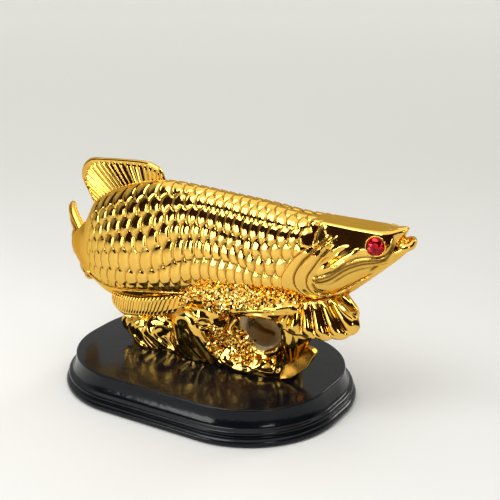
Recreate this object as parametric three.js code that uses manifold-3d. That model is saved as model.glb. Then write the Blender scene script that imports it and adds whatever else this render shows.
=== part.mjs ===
// Gold-plated arowana figurine on a wave-and-rock casting and a black lacquered base.
// Millimetres, +Z up, +X towards the snout; the tail is swept towards +Y.
// The origin is the centre of the base's underside.

import * as THREE from 'three';
import { mergeVertices } from 'three/addons/utils/BufferGeometryUtils.js';
import Module from 'manifold-3d';

const wasm = await Module();
wasm.setup();

// Driving dimensions

const GAP = 0.3;
const SAME_POINT = 1e-4;

const BASE_HALF_LENGTH = 52;
const BASE_HALF_WIDTH = 36.9;
const BASE_CORNER_RADIUS = 33.2;
const BASE_HEIGHT = 11.5;

const BODY_STEP = 3.2;
const BODY_SIDES = 20;
const TAIL_START = -50;
const TAIL_BEND_RADIUS = 20;
const STALK_END = -59;
const JAW_END = 75.2;

const GILL_COVER_INNER_Y = 4.5;

const EYE = { x: 65.2, y: 6.9, z: 65.5, turn: 0.2, tilt: 0.1 };
const GEM_RADIUS = 2.6;
const GEM_TABLE_RADIUS = 1.5;
const GEM_CROWN = 1.1;
const GEM_PAVILION = 1.3;
const SETTING_INNER_RADIUS = 2.9;
const SETTING_OUTER_RADIUS = 3.25;
const SETTING_HEIGHT = 1.5;
const SOCKET_DEPTH = 1.9;
const SOCKET_CUT = 8;

const LEDGE_UNDERSIDE = 31.5;
const SCROLL_END = -12;
const FOLD_END = 12.5;
const COLUMN_START = 27.5;
const HOLLOW_FLOOR = 20;
const HOLLOW_BACK = -1;

// Materials

const gold = new THREE.MeshStandardMaterial({ color: 0xe0b450, roughness: 0.12, metalness: 1 });
const crystal = new THREE.MeshStandardMaterial({ color: 0xb80a1e, roughness: 0.05, metalness: 0 });
const lacquer = new THREE.MeshStandardMaterial({ color: 0x101114, roughness: 0.2, metalness: 0 });

// Curves and solids

// A smooth curve through [position, value] pairs, level at neither end.
function curve(pairs, at) {
  const last = pairs.length - 1;
  if (at <= pairs[0][0]) return pairs[0][1];
  if (at >= pairs[last][0]) return pairs[last][1];
  let i = 0;
  while (at > pairs[i + 1][0]) i += 1;
  const slope = (a, b) => (pairs[b][1] - pairs[a][1]) / (pairs[b][0] - pairs[a][0]);
  const span = pairs[i + 1][0] - pairs[i][0];
  const leave = slope(Math.max(i - 1, 0), i + 1) * span;
  const arrive = slope(i, Math.min(i + 2, last)) * span;
  const t = (at - pairs[i][0]) / span;
  const rise = t * t * (3 - 2 * t);
  return pairs[i][1] * (1 - rise) + pairs[i + 1][1] * rise
    + leave * t * (1 - t) * (1 - t) - arrive * t * t * (1 - t);
}

const mix = (a, b, t) => a + (b - a) * t;

function solidFrom(points, faces) {
  const vertProperties = new Float32Array(points.flatMap((p) => [p.x, p.y, p.z]));
  const triVerts = new Uint32Array(faces.flat());
  return new wasm.Manifold(new wasm.Mesh({ numProp: 3, vertProperties, triVerts }));
}

// The solid of a closed skin whose faces may all be turned inwards.
function outwardSolid(points, faces) {
  const made = solidFrom(points, faces);
  return made.volume() > 0 ? made : solidFrom(points, faces.map(([a, b, c]) => [a, c, b]));
}

function solidOf(geometry) {
  const bare = geometry.clone();
  bare.deleteAttribute('normal');
  bare.deleteAttribute('uv');
  const merged = mergeVertices(bare, SAME_POINT);
  return new wasm.Manifold(new wasm.Mesh({
    numProp: 3,
    vertProperties: new Float32Array(merged.attributes.position.array),
    triVerts: new Uint32Array(merged.index.array),
  }));
}

function geometryOf(solid) {
  const mesh = solid.getMesh();
  const geometry = new THREE.BufferGeometry();
  geometry.setAttribute('position', new THREE.BufferAttribute(new Float32Array(mesh.vertProperties), 3));
  geometry.setIndex(new THREE.BufferAttribute(new Uint32Array(mesh.triVerts), 1));
  geometry.computeVertexNormals();
  return geometry;
}

// A closed skin over rings of equal length, with a flat end at each end ring.
function loft(rings) {
  const around = rings[0].length;
  const points = rings.flat();
  const faces = [];
  for (let i = 0; i < rings.length - 1; i += 1) {
    for (let j = 0; j < around; j += 1) {
      const a = i * around + j;
      const b = i * around + (j + 1) % around;
      faces.push([a, b, b + around], [a, b + around, a + around]);
    }
  }
  const end = (rings.length - 1) * around;
  for (let j = 1; j < around - 1; j += 1) {
    faces.push([0, j + 1, j], [end, end + j, end + j + 1]);
  }
  return outwardSolid(points, faces);
}

// An outline in the X-Z plane, pushed out across Y.
function acrossY(outline, fromY, toY) {
  const shape = new THREE.Shape(outline.map(([x, z]) => new THREE.Vector2(x, z)));
  const geometry = new THREE.ExtrudeGeometry(shape, { depth: toY - fromY, bevelEnabled: false });
  geometry.rotateX(Math.PI / 2);
  geometry.translate(0, toY, 0);
  return solidOf(geometry);
}

function block(from, to) {
  const geometry = new THREE.BoxGeometry(to[0] - from[0], to[1] - from[1], to[2] - from[2]);
  geometry.translate((from[0] + to[0]) / 2, (from[1] + to[1]) / 2, (from[2] + to[2]) / 2);
  return solidOf(geometry);
}

// The biggest separate piece of a solid that a cut may have split.
function biggest(solid) {
  return solid.decompose().reduce((a, b) => (a.volume() > b.volume() ? a : b));
}

// A thick sheet over a grid of middle points, with its thickness at each of them.
function sheet(middle, thickness, columns, rows) {
  const step = 1e-3;
  const grid = (side) => {
    const points = [];
    for (let i = 0; i <= columns; i += 1) {
      for (let j = 0; j <= rows; j += 1) {
        const [u, v] = [i / columns, j / rows];
        const du = middle(Math.min(u + step, 1), v).sub(middle(Math.max(u - step, 0), v));
        const dv = middle(u, Math.min(v + step, 1)).sub(middle(u, Math.max(v - step, 0)));
        const out = du.cross(dv).normalize();
        points.push(middle(u, v).addScaledVector(out, side * thickness(u, v) / 2));
      }
    }
    return points;
  };
  const points = [...grid(1), ...grid(-1)];
  const other = (columns + 1) * (rows + 1);
  const at = (i, j) => i * (rows + 1) + j;
  const faces = [];
  const quad = (a, b, c, d) => faces.push([a, b, c], [a, c, d]);
  for (let i = 0; i < columns; i += 1) {
    for (let j = 0; j < rows; j += 1) {
      quad(at(i, j), at(i + 1, j), at(i + 1, j + 1), at(i, j + 1));
      quad(other + at(i, j), other + at(i, j + 1), other + at(i + 1, j + 1), other + at(i + 1, j));
    }
    quad(at(i, 0), other + at(i, 0), other + at(i + 1, 0), at(i + 1, 0));
    quad(at(i + 1, rows), other + at(i + 1, rows), other + at(i, rows), at(i, rows));
  }
  for (let j = 0; j < rows; j += 1) {
    quad(at(0, j + 1), other + at(0, j + 1), other + at(0, j), at(0, j));
    quad(at(columns, j), other + at(columns, j), other + at(columns, j + 1), at(columns, j + 1));
  }
  return outwardSolid(points, faces);
}

// The base: one board with rounded ends, its edge cut to a foot, a bead and a cove

// Height and inset from the widest outline, from the underside to the top face.
const BASE_EDGE = [
  [0, 0.9], [0.5, 0.25], [1.3, 0], [2.1, 0.2], [2.8, 1.0], [3.0, 1.75],
  [3.7, 1.2], [4.4, 0.95], [5.1, 1.4], [5.5, 2.4], [7.0, 3.2], [9.2, 3.75],
  [BASE_HEIGHT - 0.3, 3.9], [BASE_HEIGHT, 4.15],
];

function baseOutline(inset, height) {
  const radius = BASE_CORNER_RADIUS - inset;
  const middleX = BASE_HALF_LENGTH - BASE_CORNER_RADIUS;
  const middleY = BASE_HALF_WIDTH - BASE_CORNER_RADIUS;
  const perCorner = 8;
  const ring = [];
  for (let corner = 0; corner < 4; corner += 1) {
    const signX = corner === 0 || corner === 3 ? 1 : -1;
    const signY = corner < 2 ? 1 : -1;
    for (let i = 0; i <= perCorner; i += 1) {
      const angle = (corner + i / perCorner) * Math.PI / 2;
      ring.push(new THREE.Vector3(
        signX * middleX + radius * Math.cos(angle),
        signY * middleY + radius * Math.sin(angle),
        height,
      ));
    }
  }
  return ring;
}

function makeBase() {
  return loft(BASE_EDGE.map(([height, inset]) => baseOutline(inset, height)));
}

// The fish: one run of cross-sections from the tail stalk to the jaws, parted afterwards

const BACK_LINE = [
  [-60, 46], [-56, 49], [-52.6, 52.4], [-48.3, 60], [-43.2, 63.2], [-39, 65.6], [-33.4, 68], [-28, 70],
  [-22, 71.6], [-16.5, 72.7], [-3, 72.6], [11, 72], [24.5, 71.3], [33, 70.4], [40, 69.7],
  [48, 69.5], [60, 69.6], [68, 70.2], [71.4, 70.9], [76, 71.2],
];
const BELLY_LINE = [
  [-60, 36], [-56, 33.6], [-52.6, 31.2], [-50, 30.6], [-46, 28.6], [-41, 27.2], [-32, 27.2],
  [-20, 29], [-10, 31.6], [0, 34], [10, 35.4], [22, 36.4], [34, 37.6], [42, 39.6],
  [50.3, 43], [59.3, 50.2], [67.1, 57.3], [72, 62.2], [76, 67],
];
const HALF_WIDTH = [
  [-60, 1.6], [-56, 2.4], [-52, 3.6], [-46, 5.6], [-38, 7.3], [-28, 8.6], [-14, 9.5], [0, 10],
  [20, 10.1], [34, 9.9], [44, 9.6], [52, 8.8], [60, 7.7], [66, 6.9], [69, 6.2], [72, 4.4], [76, 2],
];
// Where the section is widest, from the belly (0) to the back (1)
const WIDEST_AT = [
  [-60, 0.5], [-40, 0.6], [-10, 0.56], [20, 0.5], [40, 0.46], [60, 0.5], [76, 0.5],
];
// How square the upper half is: 2 is round, 6 has a flat top and sharp shoulders
const UPPER_SQUARE = [
  [-60, 2], [-30, 2.1], [0, 2.2], [28, 2.4], [38, 3.4], [44, 5.2], [76, 5.6],
];
const LOWER_SQUARE = [
  [-60, 1.8], [-40, 1.5], [-10, 1.6], [20, 2], [40, 1.9], [60, 1.7], [76, 1.8],
];
// How far the sides of the head lean in towards its flat top
const TOP_TAPER = [[-60, 0], [30, 0.02], [40, 0.2], [48, 0.3], [60, 0.26], [68, 0.2], [76, 0.2]];

// Centre line in plan: straight through the body, swept to +Y in an arc behind it.
function spine(s) {
  if (s > TAIL_START) return { x: s, y: 0, angle: 0 };
  const angle = (TAIL_START - s) / TAIL_BEND_RADIUS;
  return {
    x: TAIL_START - TAIL_BEND_RADIUS * Math.sin(angle),
    y: TAIL_BEND_RADIUS * (1 - Math.cos(angle)),
    angle,
  };
}

function bodyRing(s, grow) {
  const top = curve(BACK_LINE, s) + grow;
  const bottom = curve(BELLY_LINE, s) - grow;
  const half = curve(HALF_WIDTH, s) + grow;
  const widest = mix(bottom, top, curve(WIDEST_AT, s));
  const { x, y, angle } = spine(s);
  const ring = [];
  for (let i = 0; i < BODY_SIDES; i += 1) {
    const turn = (i / BODY_SIDES) * 2 * Math.PI;
    const up = Math.cos(turn);
    const side = Math.sin(turn);
    const square = 2 / curve(up > 0 ? UPPER_SQUARE : LOWER_SQUARE, s);
    const rise = Math.sign(up) * Math.abs(up) ** square;
    const lean = up > 0 ? 1 - curve(TOP_TAPER, s) * rise * rise : 1;
    const out = half * Math.sign(side) * Math.abs(side) ** square * lean;
    const z = widest + rise * (up > 0 ? top - widest : widest - bottom);
    ring.push(new THREE.Vector3(x - out * Math.sin(angle), y - out * Math.cos(angle), z));
  }
  return ring;
}

function makeBody(grow) {
  const rings = [];
  const steps = Math.round((JAW_END + grow - STALK_END) / BODY_STEP);
  for (let i = 0; i <= steps; i += 1) {
    rings.push(bodyRing(mix(STALK_END, JAW_END + grow, i / steps), grow));
  }
  return loft(rings);
}

// Lines in the X-Z plane where the fish is parted, listed from the top down

const GILL_EDGE = [
  [45.5, 80], [44.6, 66], [39.6, 58.6], [34.8, 53.4], [33.4, 49], [35, 44], [40, 39.5], [46, 34],
];
const COVER_EDGE = [
  [43.4, 68], [46.2, 65], [41.4, 57.6], [38.6, 52.6], [38.4, 48.6], [41.4, 44.9], [46, 43.4], [50, 42.8],
  [51, 38],
];
// Runs back round outside the gill edge, so that it closes the cover's area.
const COVER_OUTSIDE = [[39, 37], [32, 43], [31, 49], [32, 54], [37, 60], [42, 67]];
const LIP_LINE = [
  [71.4, 84], [71.4, 70], [70.6, 67.6], [70.3, 65.6], [69, 62.9], [66, 61.3], [62.5, 60.9], [58, 59.4],
  [53.5, 56.9], [50.4, 53.8], [47.4, 52.2], [44.4, 51.2], [42.9, 49.6], [43.2, 47],
  [46, 44.8], [49.4, 43.4], [51, 40],
];
// The open front of the mouth, between the snout and the tip of the lower jaw.
const MOUTH = [
  [80, 84], [71.1, 84], [71.4, 70], [70.6, 67.6], [70.3, 65.6], [69.4, 63.4], [70.2, 63.2],
  [71.3, 65.4], [71.6, 66.9], [72.6, 67.9], [80, 67.5],
];
const STALK_ROOT = -48;
const FRONT_OF_ALL = 80;
const ABOVE_ALL = 84;
const BELOW_ALL = 30;
const WIDER_THAN_FISH = 20;

// Moves a line that is listed from the top down sideways, towards the tail.
function moved(line, distance) {
  return line.map(([x, z], i) => {
    const before = line[Math.max(i - 1, 0)];
    const after = line[Math.min(i + 1, line.length - 1)];
    const along = new THREE.Vector2(after[0] - before[0], after[1] - before[1]).normalize();
    return [x + along.y * distance, z - along.x * distance];
  });
}

const across = (outline) => acrossY(outline, -WIDER_THAN_FISH, WIDER_THAN_FISH);

function partFish() {
  const whole = makeBody(0);
  const front = (line) => across([...line, [FRONT_OF_ALL, BELOW_ALL], [FRONT_OF_ALL, ABOVE_ALL]]);
  const mouth = across(MOUTH);
  const headSide = whole.intersect(front(GILL_EDGE)).subtract(mouth);
  const trunkAndTail = whole.subtract(front(moved(GILL_EDGE, GAP)));
  const jawSide = headSide.intersect(front(moved(LIP_LINE, -GAP)));
  const upperHead = headSide.subtract(front(LIP_LINE));
  const coverBlade = (side, gap) => {
    const inner = GILL_COVER_INNER_Y - gap;
    const area = [...moved(COVER_EDGE, -gap), ...COVER_OUTSIDE];
    return side < 0 ? acrossY(area, -WIDER_THAN_FISH, -inner) : acrossY(area, inner, WIDER_THAN_FISH);
  };
  const aheadOf = (x) => block([x, -WIDER_THAN_FISH, 0], [FRONT_OF_ALL, WIDER_THAN_FISH, ABOVE_ALL]);
  return {
    trunk: trunkAndTail.intersect(aheadOf(STALK_ROOT)),
    tail_stalk: trunkAndTail.subtract(aheadOf(STALK_ROOT - GAP)),
    lower_jaw: biggest(jawSide),
    gill_cover_right: biggest(upperHead.intersect(coverBlade(-1, 0))),
    gill_cover_left: biggest(upperHead.intersect(coverBlade(1, 0))),
    head: biggest(upperHead.subtract(coverBlade(-1, GAP)).subtract(coverBlade(1, GAP))),
  };
}

// Fins

// Reads the given column of a fin's edge, listed by share along the fin.
const edgeReader = (edge, k) => (u) => curve(edge.map((point) => [point[0], point[k]]), u);

// The dorsal fin's outer edge from the rear to the front: share, X, Z
const DORSAL_EDGE = [
  [0, -48, 59.5], [0.1, -50.8, 64.4], [0.2, -53, 69], [0.28, -52, 73], [0.36, -48.8, 75.8],
  [0.5, -42, 76.7], [0.65, -33, 77.5], [0.8, -24.5, 77.9], [0.9, -20, 76.9], [0.96, -18.2, 75.2],
  [1, -16.6, 72],
];
const DORSAL = { rear: -46.5, front: -17.5, sunk: 3, rootThick: 3.6, edgeThick: 2.2 };

function makeDorsalFin() {
  const [edgeX, edgeZ] = [edgeReader(DORSAL_EDGE, 1), edgeReader(DORSAL_EDGE, 2)];
  const middle = (u, v) => {
    const rootX = mix(DORSAL.rear, DORSAL.front, u);
    const rootZ = curve(BACK_LINE, rootX) - DORSAL.sunk;
    return new THREE.Vector3(mix(rootX, edgeX(u), v), 0, mix(rootZ, edgeZ(u), v));
  };
  return sheet(middle, (u, v) => mix(DORSAL.rootThick, DORSAL.edgeThick, v), 20, 3);
}

// The anal fin's lower edge from the rear to the front; the fin hangs a little towards -Y.
const ANAL_EDGE = [
  [0, -42.4, 23.2], [0.12, -39.6, 20.4], [0.28, -35.7, 18.8], [0.6, -27, 19.4], [1, -12, 21.8],
];
const ANAL = { rear: -41.5, front: -11, sunk: 2, rootY: -3, edgeY: -4.6, rootThick: 5, edgeThick: 2.6 };

function makeAnalFin() {
  const [edgeX, edgeZ] = [edgeReader(ANAL_EDGE, 1), edgeReader(ANAL_EDGE, 2)];
  const middle = (u, v) => {
    const rootX = mix(ANAL.rear, ANAL.front, u);
    const rootZ = curve(BELLY_LINE, rootX) + ANAL.sunk;
    return new THREE.Vector3(
      mix(rootX, edgeX(u), v),
      mix(ANAL.rootY, ANAL.edgeY, v),
      mix(rootZ, edgeZ(u), v),
    );
  };
  return sheet(middle, (u, v) => mix(ANAL.rootThick, ANAL.edgeThick, v), 14, 2);
}

// The tail fin's rear edge from its lower to its upper tip; each ray curls away to +Y.
const TAIL_EDGE = [
  [0, -58.2, 27.6], [0.2, -61, 31.6], [0.5, -65.2, 40], [0.72, -66.2, 47], [0.85, -66, 51],
  [1, -66.6, 54.4],
];
const TAIL = {
  rootX: -52.5, rootY: 0.4, rootLow: 33.4, rootHigh: 49.4, edgeY: 10, bulge: 1.6,
  rootThick: 4.4, lowThick: 1.3, highThick: 2.6,
};

function makeCaudalFin() {
  const [edgeX, edgeZ] = [edgeReader(TAIL_EDGE, 1), edgeReader(TAIL_EDGE, 2)];
  const middle = (u, v) => {
    const root = new THREE.Vector3(TAIL.rootX, TAIL.rootY, mix(TAIL.rootLow, TAIL.rootHigh, u));
    const tip = new THREE.Vector3(edgeX(u), TAIL.edgeY, edgeZ(u));
    const bend = new THREE.Vector3(mix(root.x, tip.x, 0.56), root.y + 0.6, mix(root.z, tip.z, 0.45));
    const lift = new THREE.Vector3(0, 0, TAIL.bulge * Math.sin(Math.PI * v) * (2 * u - 1));
    return new THREE.Vector3()
      .addScaledVector(root, (1 - v) * (1 - v))
      .addScaledVector(bend, 2 * v * (1 - v))
      .addScaledVector(tip, v * v)
      .add(lift);
  };
  const edgeThick = (u) => mix(TAIL.lowThick, TAIL.highThick, u ** 4);
  return sheet(middle, (u, v) => mix(TAIL.rootThick, edgeThick(u), v), 12, 6);
}

// A pectoral fin fans out under the throat; its rays run from one root to a lobed edge.
const PECTORAL_EDGE = [
  [0, 33.5, 13.2, 36.6], [0.2, 38, 12.6, 32.6], [0.42, 45, 9.6, 30], [0.66, 51, 6.6, 29.8],
  [0.85, 55.4, 4.2, 32.2], [1, 55.6, 3, 37.4],
];
const PECTORAL_ROOT = { rear: [38, 8.6, 39.6], front: [49.6, 2.6, 42.6] };
const PECTORAL = { lobes: 5, lobeDepth: 0.05, lobesFrom: 0.9, rootThick: 3.4, edgeThick: 1.6 };

function makePectoralFin(side) {
  const [edgeX, edgeY, edgeZ] = [1, 2, 3].map((k) => edgeReader(PECTORAL_EDGE, k));
  const rootAt = (u, k) => mix(PECTORAL_ROOT.rear[k], PECTORAL_ROOT.front[k], u);
  const middle = (u, v) => {
    const root = new THREE.Vector3(rootAt(u, 0), side * rootAt(u, 1), rootAt(u, 2));
    const tip = new THREE.Vector3(edgeX(u), side * edgeY(u), edgeZ(u));
    const lobes = 1 + PECTORAL.lobeDepth * Math.cos(PECTORAL.lobes * 2 * Math.PI * u);
    return root.lerp(tip, v > PECTORAL.lobesFrom ? v * lobes : v);
  };
  return sheet(middle, (u, v) => mix(PECTORAL.rootThick, PECTORAL.edgeThick, v), 15, 3);
}

// The wave and rock casting under the fish

// Level slices of a lump: height, centre X, centre Y, half length, half width
const SCROLL = [
  [11.8, -21, 1, 10, 9], [14.5, -22, 1, 11, 9], [18, -23.6, 0.6, 12, 8.6], [21, -22.4, 0.4, 12.2, 7.4],
  [23.2, -20, 0.4, 10.6, 5.6],
];
const FOLD = [
  [11.8, -3, 1.4, 13, 9], [18, -2, 0.8, 12.6, 9.8], [24, -1, 0.2, 12, 10.4], [29, 0.6, 0, 11.4, 10.2],
  [33.5, 3.6, 0, 9.6, 8.6],
];
const BACK_WALL = [
  [11.8, 18, 4.4, 14, 7.4], [20, 18, 4.6, 14, 7.4], [28, 19, 4, 14, 8], [34, 20, 3, 14, 9],
];
const SILL = [
  [11.8, 18, -1.6, 13.4, 5], [14, 17.4, -1.8, 13, 5.4], [16.6, 16.4, -1, 12, 4.6], [18.4, 15.6, 0, 11, 3.4],
];
const COLUMN = [
  [11.8, 29.8, 2.4, 4.8, 4.8], [17, 31, 1.8, 4.8, 5], [23, 33, 0, 5.2, 6.8], [29, 35.4, -1, 6.6, 9],
  [34, 36.4, -1, 6.4, 9.6],
];
const FLUTES = 9;
const FLUTE_DEPTH = 0.05;
const LUMP_SIDES = 22;
const LUMP_LEVELS = 5;

function lump(slices, twist, grow) {
  const [low, high] = [slices[0][0], slices[slices.length - 1][0]];
  const read = (k, z) => curve(slices.map((slice) => [slice[0], slice[k]]), z);
  const rings = [];
  for (let i = 0; i <= LUMP_LEVELS; i += 1) {
    const t = i / LUMP_LEVELS;
    const z = mix(low, high, t);
    const ring = [];
    for (let j = 0; j < LUMP_SIDES; j += 1) {
      const angle = (j / LUMP_SIDES) * 2 * Math.PI;
      const flute = 1 + FLUTE_DEPTH * Math.cos(FLUTES * angle + twist * t);
      ring.push(new THREE.Vector3(
        read(1, z) + (read(3, z) * flute + grow) * Math.cos(angle),
        read(2, z) + (read(4, z) * flute + grow) * Math.sin(angle),
        mix(low - grow, high + grow, t),
      ));
    }
    rings.push(ring);
  }
  return loft(rings);
}

// The ledge under the belly, in sections along X: X, middle height, half height, half width
const LEDGE = [
  [-9, 33, 2.4, 5], [-4, 35, 3.6, 9], [2, 37, 5, 11.8], [9, 38.4, 6.2, 13], [18, 38.8, 6.6, 13.9],
  [27, 39.4, 6.2, 13.9], [35, 40.2, 5.2, 13], [41, 40.6, 3.6, 10.4],
];
const LEDGE_SECTIONS = 10;
const LEDGE_SIDES = 16;
const LEDGE_SQUARE = 0.75;
const LEDGE_TOP_TAPER = 0.22;

function makeLedge(grow) {
  const [from, to] = [LEDGE[0][0] - grow, LEDGE[LEDGE.length - 1][0] + grow];
  const read = (k, x) => curve(LEDGE.map((section) => [section[0], section[k]]), x);
  const rings = [];
  for (let i = 0; i <= LEDGE_SECTIONS; i += 1) {
    const x = mix(from, to, i / LEDGE_SECTIONS);
    const ring = [];
    for (let j = 0; j < LEDGE_SIDES; j += 1) {
      const angle = (j / LEDGE_SIDES) * 2 * Math.PI;
      const up = Math.cos(angle);
      const side = Math.sin(angle);
      const lean = 1 - LEDGE_TOP_TAPER * Math.max(up, 0);
      ring.push(new THREE.Vector3(
        x,
        (read(3, x) + grow) * Math.sign(side) * Math.abs(side) ** LEDGE_SQUARE * lean,
        read(1, x) + (read(2, x) + grow) * Math.sign(up) * Math.abs(up) ** LEDGE_SQUARE,
      ));
    }
    rings.push(ring);
  }
  return loft(rings);
}

function makeRock(grow) {
  const lumps = [[SCROLL, 2], [FOLD, 3], [BACK_WALL, 1], [SILL, 1], [COLUMN, 2]];
  return lumps.reduce((all, [slices, twist]) => all.add(lump(slices, twist, grow)), makeLedge(grow));
}

// A flat-sided slab beside the column; its face leans back towards its top.
const WEDGE_OUTLINE = [
  [31.2, 11.9], [35, 12.4], [39.6, 16.4], [41.6, 21.2], [39.8, 22.4], [34.6, 22.6], [32, 17.4],
];
const WEDGE = { footX: 31, footZ: 12, footY: -5, turn: 0.1, lean: 0.42, thick: 2.8 };

function makeWedge() {
  const ring = (behind) => WEDGE_OUTLINE.map(([x, z]) => {
    const front = WEDGE.footY + WEDGE.turn * (x - WEDGE.footX) + WEDGE.lean * (z - WEDGE.footZ);
    return new THREE.Vector3(x, front + behind, z);
  });
  return loft([ring(0), ring(WEDGE.thick)]);
}

// Further out than any of the rock
const BEYOND = 60;

function partRock(grownBody, grownRock) {
  const rock = makeRock(0).subtract(grownBody);
  const half = GAP / 2;
  const cell = (x0, x1, y0, y1, z0, z1) => biggest(rock.intersect(block(
    [x0 + half, y0 + half, z0 + half],
    [x1 - half, y1 - half, z1 - half],
  )));
  return {
    wave_scroll: cell(-BEYOND, SCROLL_END, -BEYOND, BEYOND, 0, BEYOND),
    wave_fold: cell(SCROLL_END, FOLD_END, -BEYOND, BEYOND, 0, LEDGE_UNDERSIDE),
    rock_back: cell(FOLD_END, COLUMN_START, HOLLOW_BACK, BEYOND, 0, LEDGE_UNDERSIDE),
    rock_sill: cell(FOLD_END, COLUMN_START, -BEYOND, HOLLOW_BACK, 0, HOLLOW_FLOOR),
    rock_column: cell(COLUMN_START, BEYOND, -BEYOND, BEYOND, 0, LEDGE_UNDERSIDE),
    coral_ledge_right: cell(SCROLL_END, BEYOND, -BEYOND, 0, LEDGE_UNDERSIDE, BEYOND),
    coral_ledge_left: cell(SCROLL_END, BEYOND, 0, BEYOND, LEDGE_UNDERSIDE, BEYOND),
    rock_wedge: biggest(makeWedge().subtract(grownRock)),
  };
}

// Eyes: a faceted crystal in a raised gold ring, let into a round socket

function makeGem() {
  const profile = [
    [0, 0], [GEM_RADIUS * 0.55, GEM_PAVILION * 0.55], [GEM_RADIUS, GEM_PAVILION],
    [GEM_TABLE_RADIUS, GEM_PAVILION + GEM_CROWN], [0, GEM_PAVILION + GEM_CROWN],
  ];
  return new THREE.LatheGeometry(profile.map(([r, h]) => new THREE.Vector2(r, h)), 8);
}

function makeSetting() {
  const profile = [
    [SETTING_INNER_RADIUS, 0], [SETTING_OUTER_RADIUS, 0], [SETTING_OUTER_RADIUS, SETTING_HEIGHT * 0.7],
    [mix(SETTING_INNER_RADIUS, SETTING_OUTER_RADIUS, 0.5), SETTING_HEIGHT],
    [SETTING_INNER_RADIUS, SETTING_HEIGHT * 0.8], [SETTING_INNER_RADIUS, 0],
  ];
  return new THREE.LatheGeometry(profile.map(([r, h]) => new THREE.Vector2(r, h)), 16);
}

function eyePlace(side) {
  const place = new THREE.Group();
  const out = new THREE.Vector3(EYE.turn, side, EYE.tilt).normalize();
  place.position.set(EYE.x, side * EYE.y, EYE.z).addScaledVector(out, -SOCKET_DEPTH + GAP);
  place.quaternion.setFromUnitVectors(new THREE.Vector3(0, 1, 0), out);
  return place;
}

function eyeSocket(side) {
  const radius = SETTING_OUTER_RADIUS + GAP;
  const socket = new THREE.CylinderGeometry(radius, radius, SOCKET_CUT, 20);
  socket.translate(0, SOCKET_CUT / 2 - GAP, 0);
  const place = eyePlace(side);
  place.updateMatrix();
  socket.applyMatrix4(place.matrix);
  return solidOf(socket);
}

// Assembly

const figurine = new THREE.Group();

function addPiece(parent, name, geometry, material) {
  const mesh = new THREE.Mesh(geometry, material);
  mesh.name = name;
  parent.add(mesh);
}

addPiece(figurine, 'base', geometryOf(makeBase()), lacquer);

const grownBody = makeBody(GAP);
const grownRock = makeRock(GAP);
const fish = partFish();
const rockPieces = partRock(grownBody, grownRock);
const clearOfBoth = (fin) => biggest(fin.subtract(grownBody).subtract(grownRock));
const fins = {
  dorsal_fin: clearOfBoth(makeDorsalFin()),
  anal_fin: clearOfBoth(makeAnalFin()),
  caudal_fin: clearOfBoth(makeCaudalFin()),
  pectoral_fin_right: clearOfBoth(makePectoralFin(-1)),
  pectoral_fin_left: clearOfBoth(makePectoralFin(1)),
};

for (const side of [-1, 1]) {
  for (const name of ['head', 'lower_jaw', 'gill_cover_right', 'gill_cover_left']) {
    fish[name] = biggest(fish[name].subtract(eyeSocket(side)));
  }
}

for (const pieces of [fish, fins, rockPieces]) {
  for (const [name, solid] of Object.entries(pieces)) {
    addPiece(figurine, name, geometryOf(solid), gold);
  }
}

for (const [name, side] of [['right', -1], ['left', 1]]) {
  const place = eyePlace(side);
  addPiece(place, `eye_gem_${name}`, makeGem(), crystal);
  addPiece(place, `eye_setting_${name}`, makeSetting(), gold);
  figurine.add(place);
}

export default figurine;
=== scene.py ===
# Gold-plated arowana figurine on a wave-and-rock casting, on a black lacquered base.
# +X runs towards the snout, -Y is the side that the photograph shows, and the base stands on z = 0.
# Shapes are written in millimetres, and become metres where a mesh is made.

import math
import bmesh
import bpy
import numpy as np
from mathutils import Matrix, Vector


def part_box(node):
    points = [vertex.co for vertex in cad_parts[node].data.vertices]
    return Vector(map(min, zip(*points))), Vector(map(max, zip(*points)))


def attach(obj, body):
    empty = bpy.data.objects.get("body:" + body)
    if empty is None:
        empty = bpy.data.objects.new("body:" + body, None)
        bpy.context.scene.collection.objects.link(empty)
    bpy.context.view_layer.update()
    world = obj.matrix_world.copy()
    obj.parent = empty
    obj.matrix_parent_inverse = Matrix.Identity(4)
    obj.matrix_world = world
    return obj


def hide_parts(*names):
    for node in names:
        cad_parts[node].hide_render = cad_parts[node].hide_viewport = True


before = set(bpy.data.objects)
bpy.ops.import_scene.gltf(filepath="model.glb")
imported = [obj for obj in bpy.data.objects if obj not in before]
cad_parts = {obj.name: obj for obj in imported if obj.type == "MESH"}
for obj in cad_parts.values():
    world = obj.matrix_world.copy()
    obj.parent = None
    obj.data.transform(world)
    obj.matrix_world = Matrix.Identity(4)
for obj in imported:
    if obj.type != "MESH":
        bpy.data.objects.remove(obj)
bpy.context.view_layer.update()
MM = 0.001


# Base board
# One piece of wood with rounded ends, its edge moulded to a foot, a bead and a cove.
# It is sprayed black and polished until its top mirrors the casting that stands on it.

def curve(pairs, at):
    """A smooth line through (place, value) pairs, read at one place or at many."""
    places, values = np.array(pairs, float).T
    at = np.clip(at, places[0], places[-1])
    i = np.clip(np.searchsorted(places, at, side="right") - 1, 0, len(places) - 2)
    before = np.maximum(i - 1, 0)
    after = np.minimum(i + 2, len(places) - 1)
    span = places[i + 1] - places[i]
    leave = (values[i + 1] - values[before]) / (places[i + 1] - places[before]) * span
    arrive = (values[after] - values[i]) / (places[after] - places[i]) * span
    t = (at - places[i]) / span
    rise = t * t * (3 - 2 * t)
    level = values[i] * (1 - rise) + values[i + 1] * rise
    return level + leave * t * (1 - t) ** 2 - arrive * t * t * (1 - t)


def ring_faces(rings, around, closed=True):
    """Four-sided faces that join each ring of points to the next."""
    steps = around if closed else around - 1
    i, j = np.meshgrid(np.arange(rings - 1), np.arange(steps), indexing="ij")
    a = i * around + j
    b = i * around + (j + 1) % around
    return np.stack([a, b, b + around, a + around], -1).reshape(-1, 4).tolist()


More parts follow.
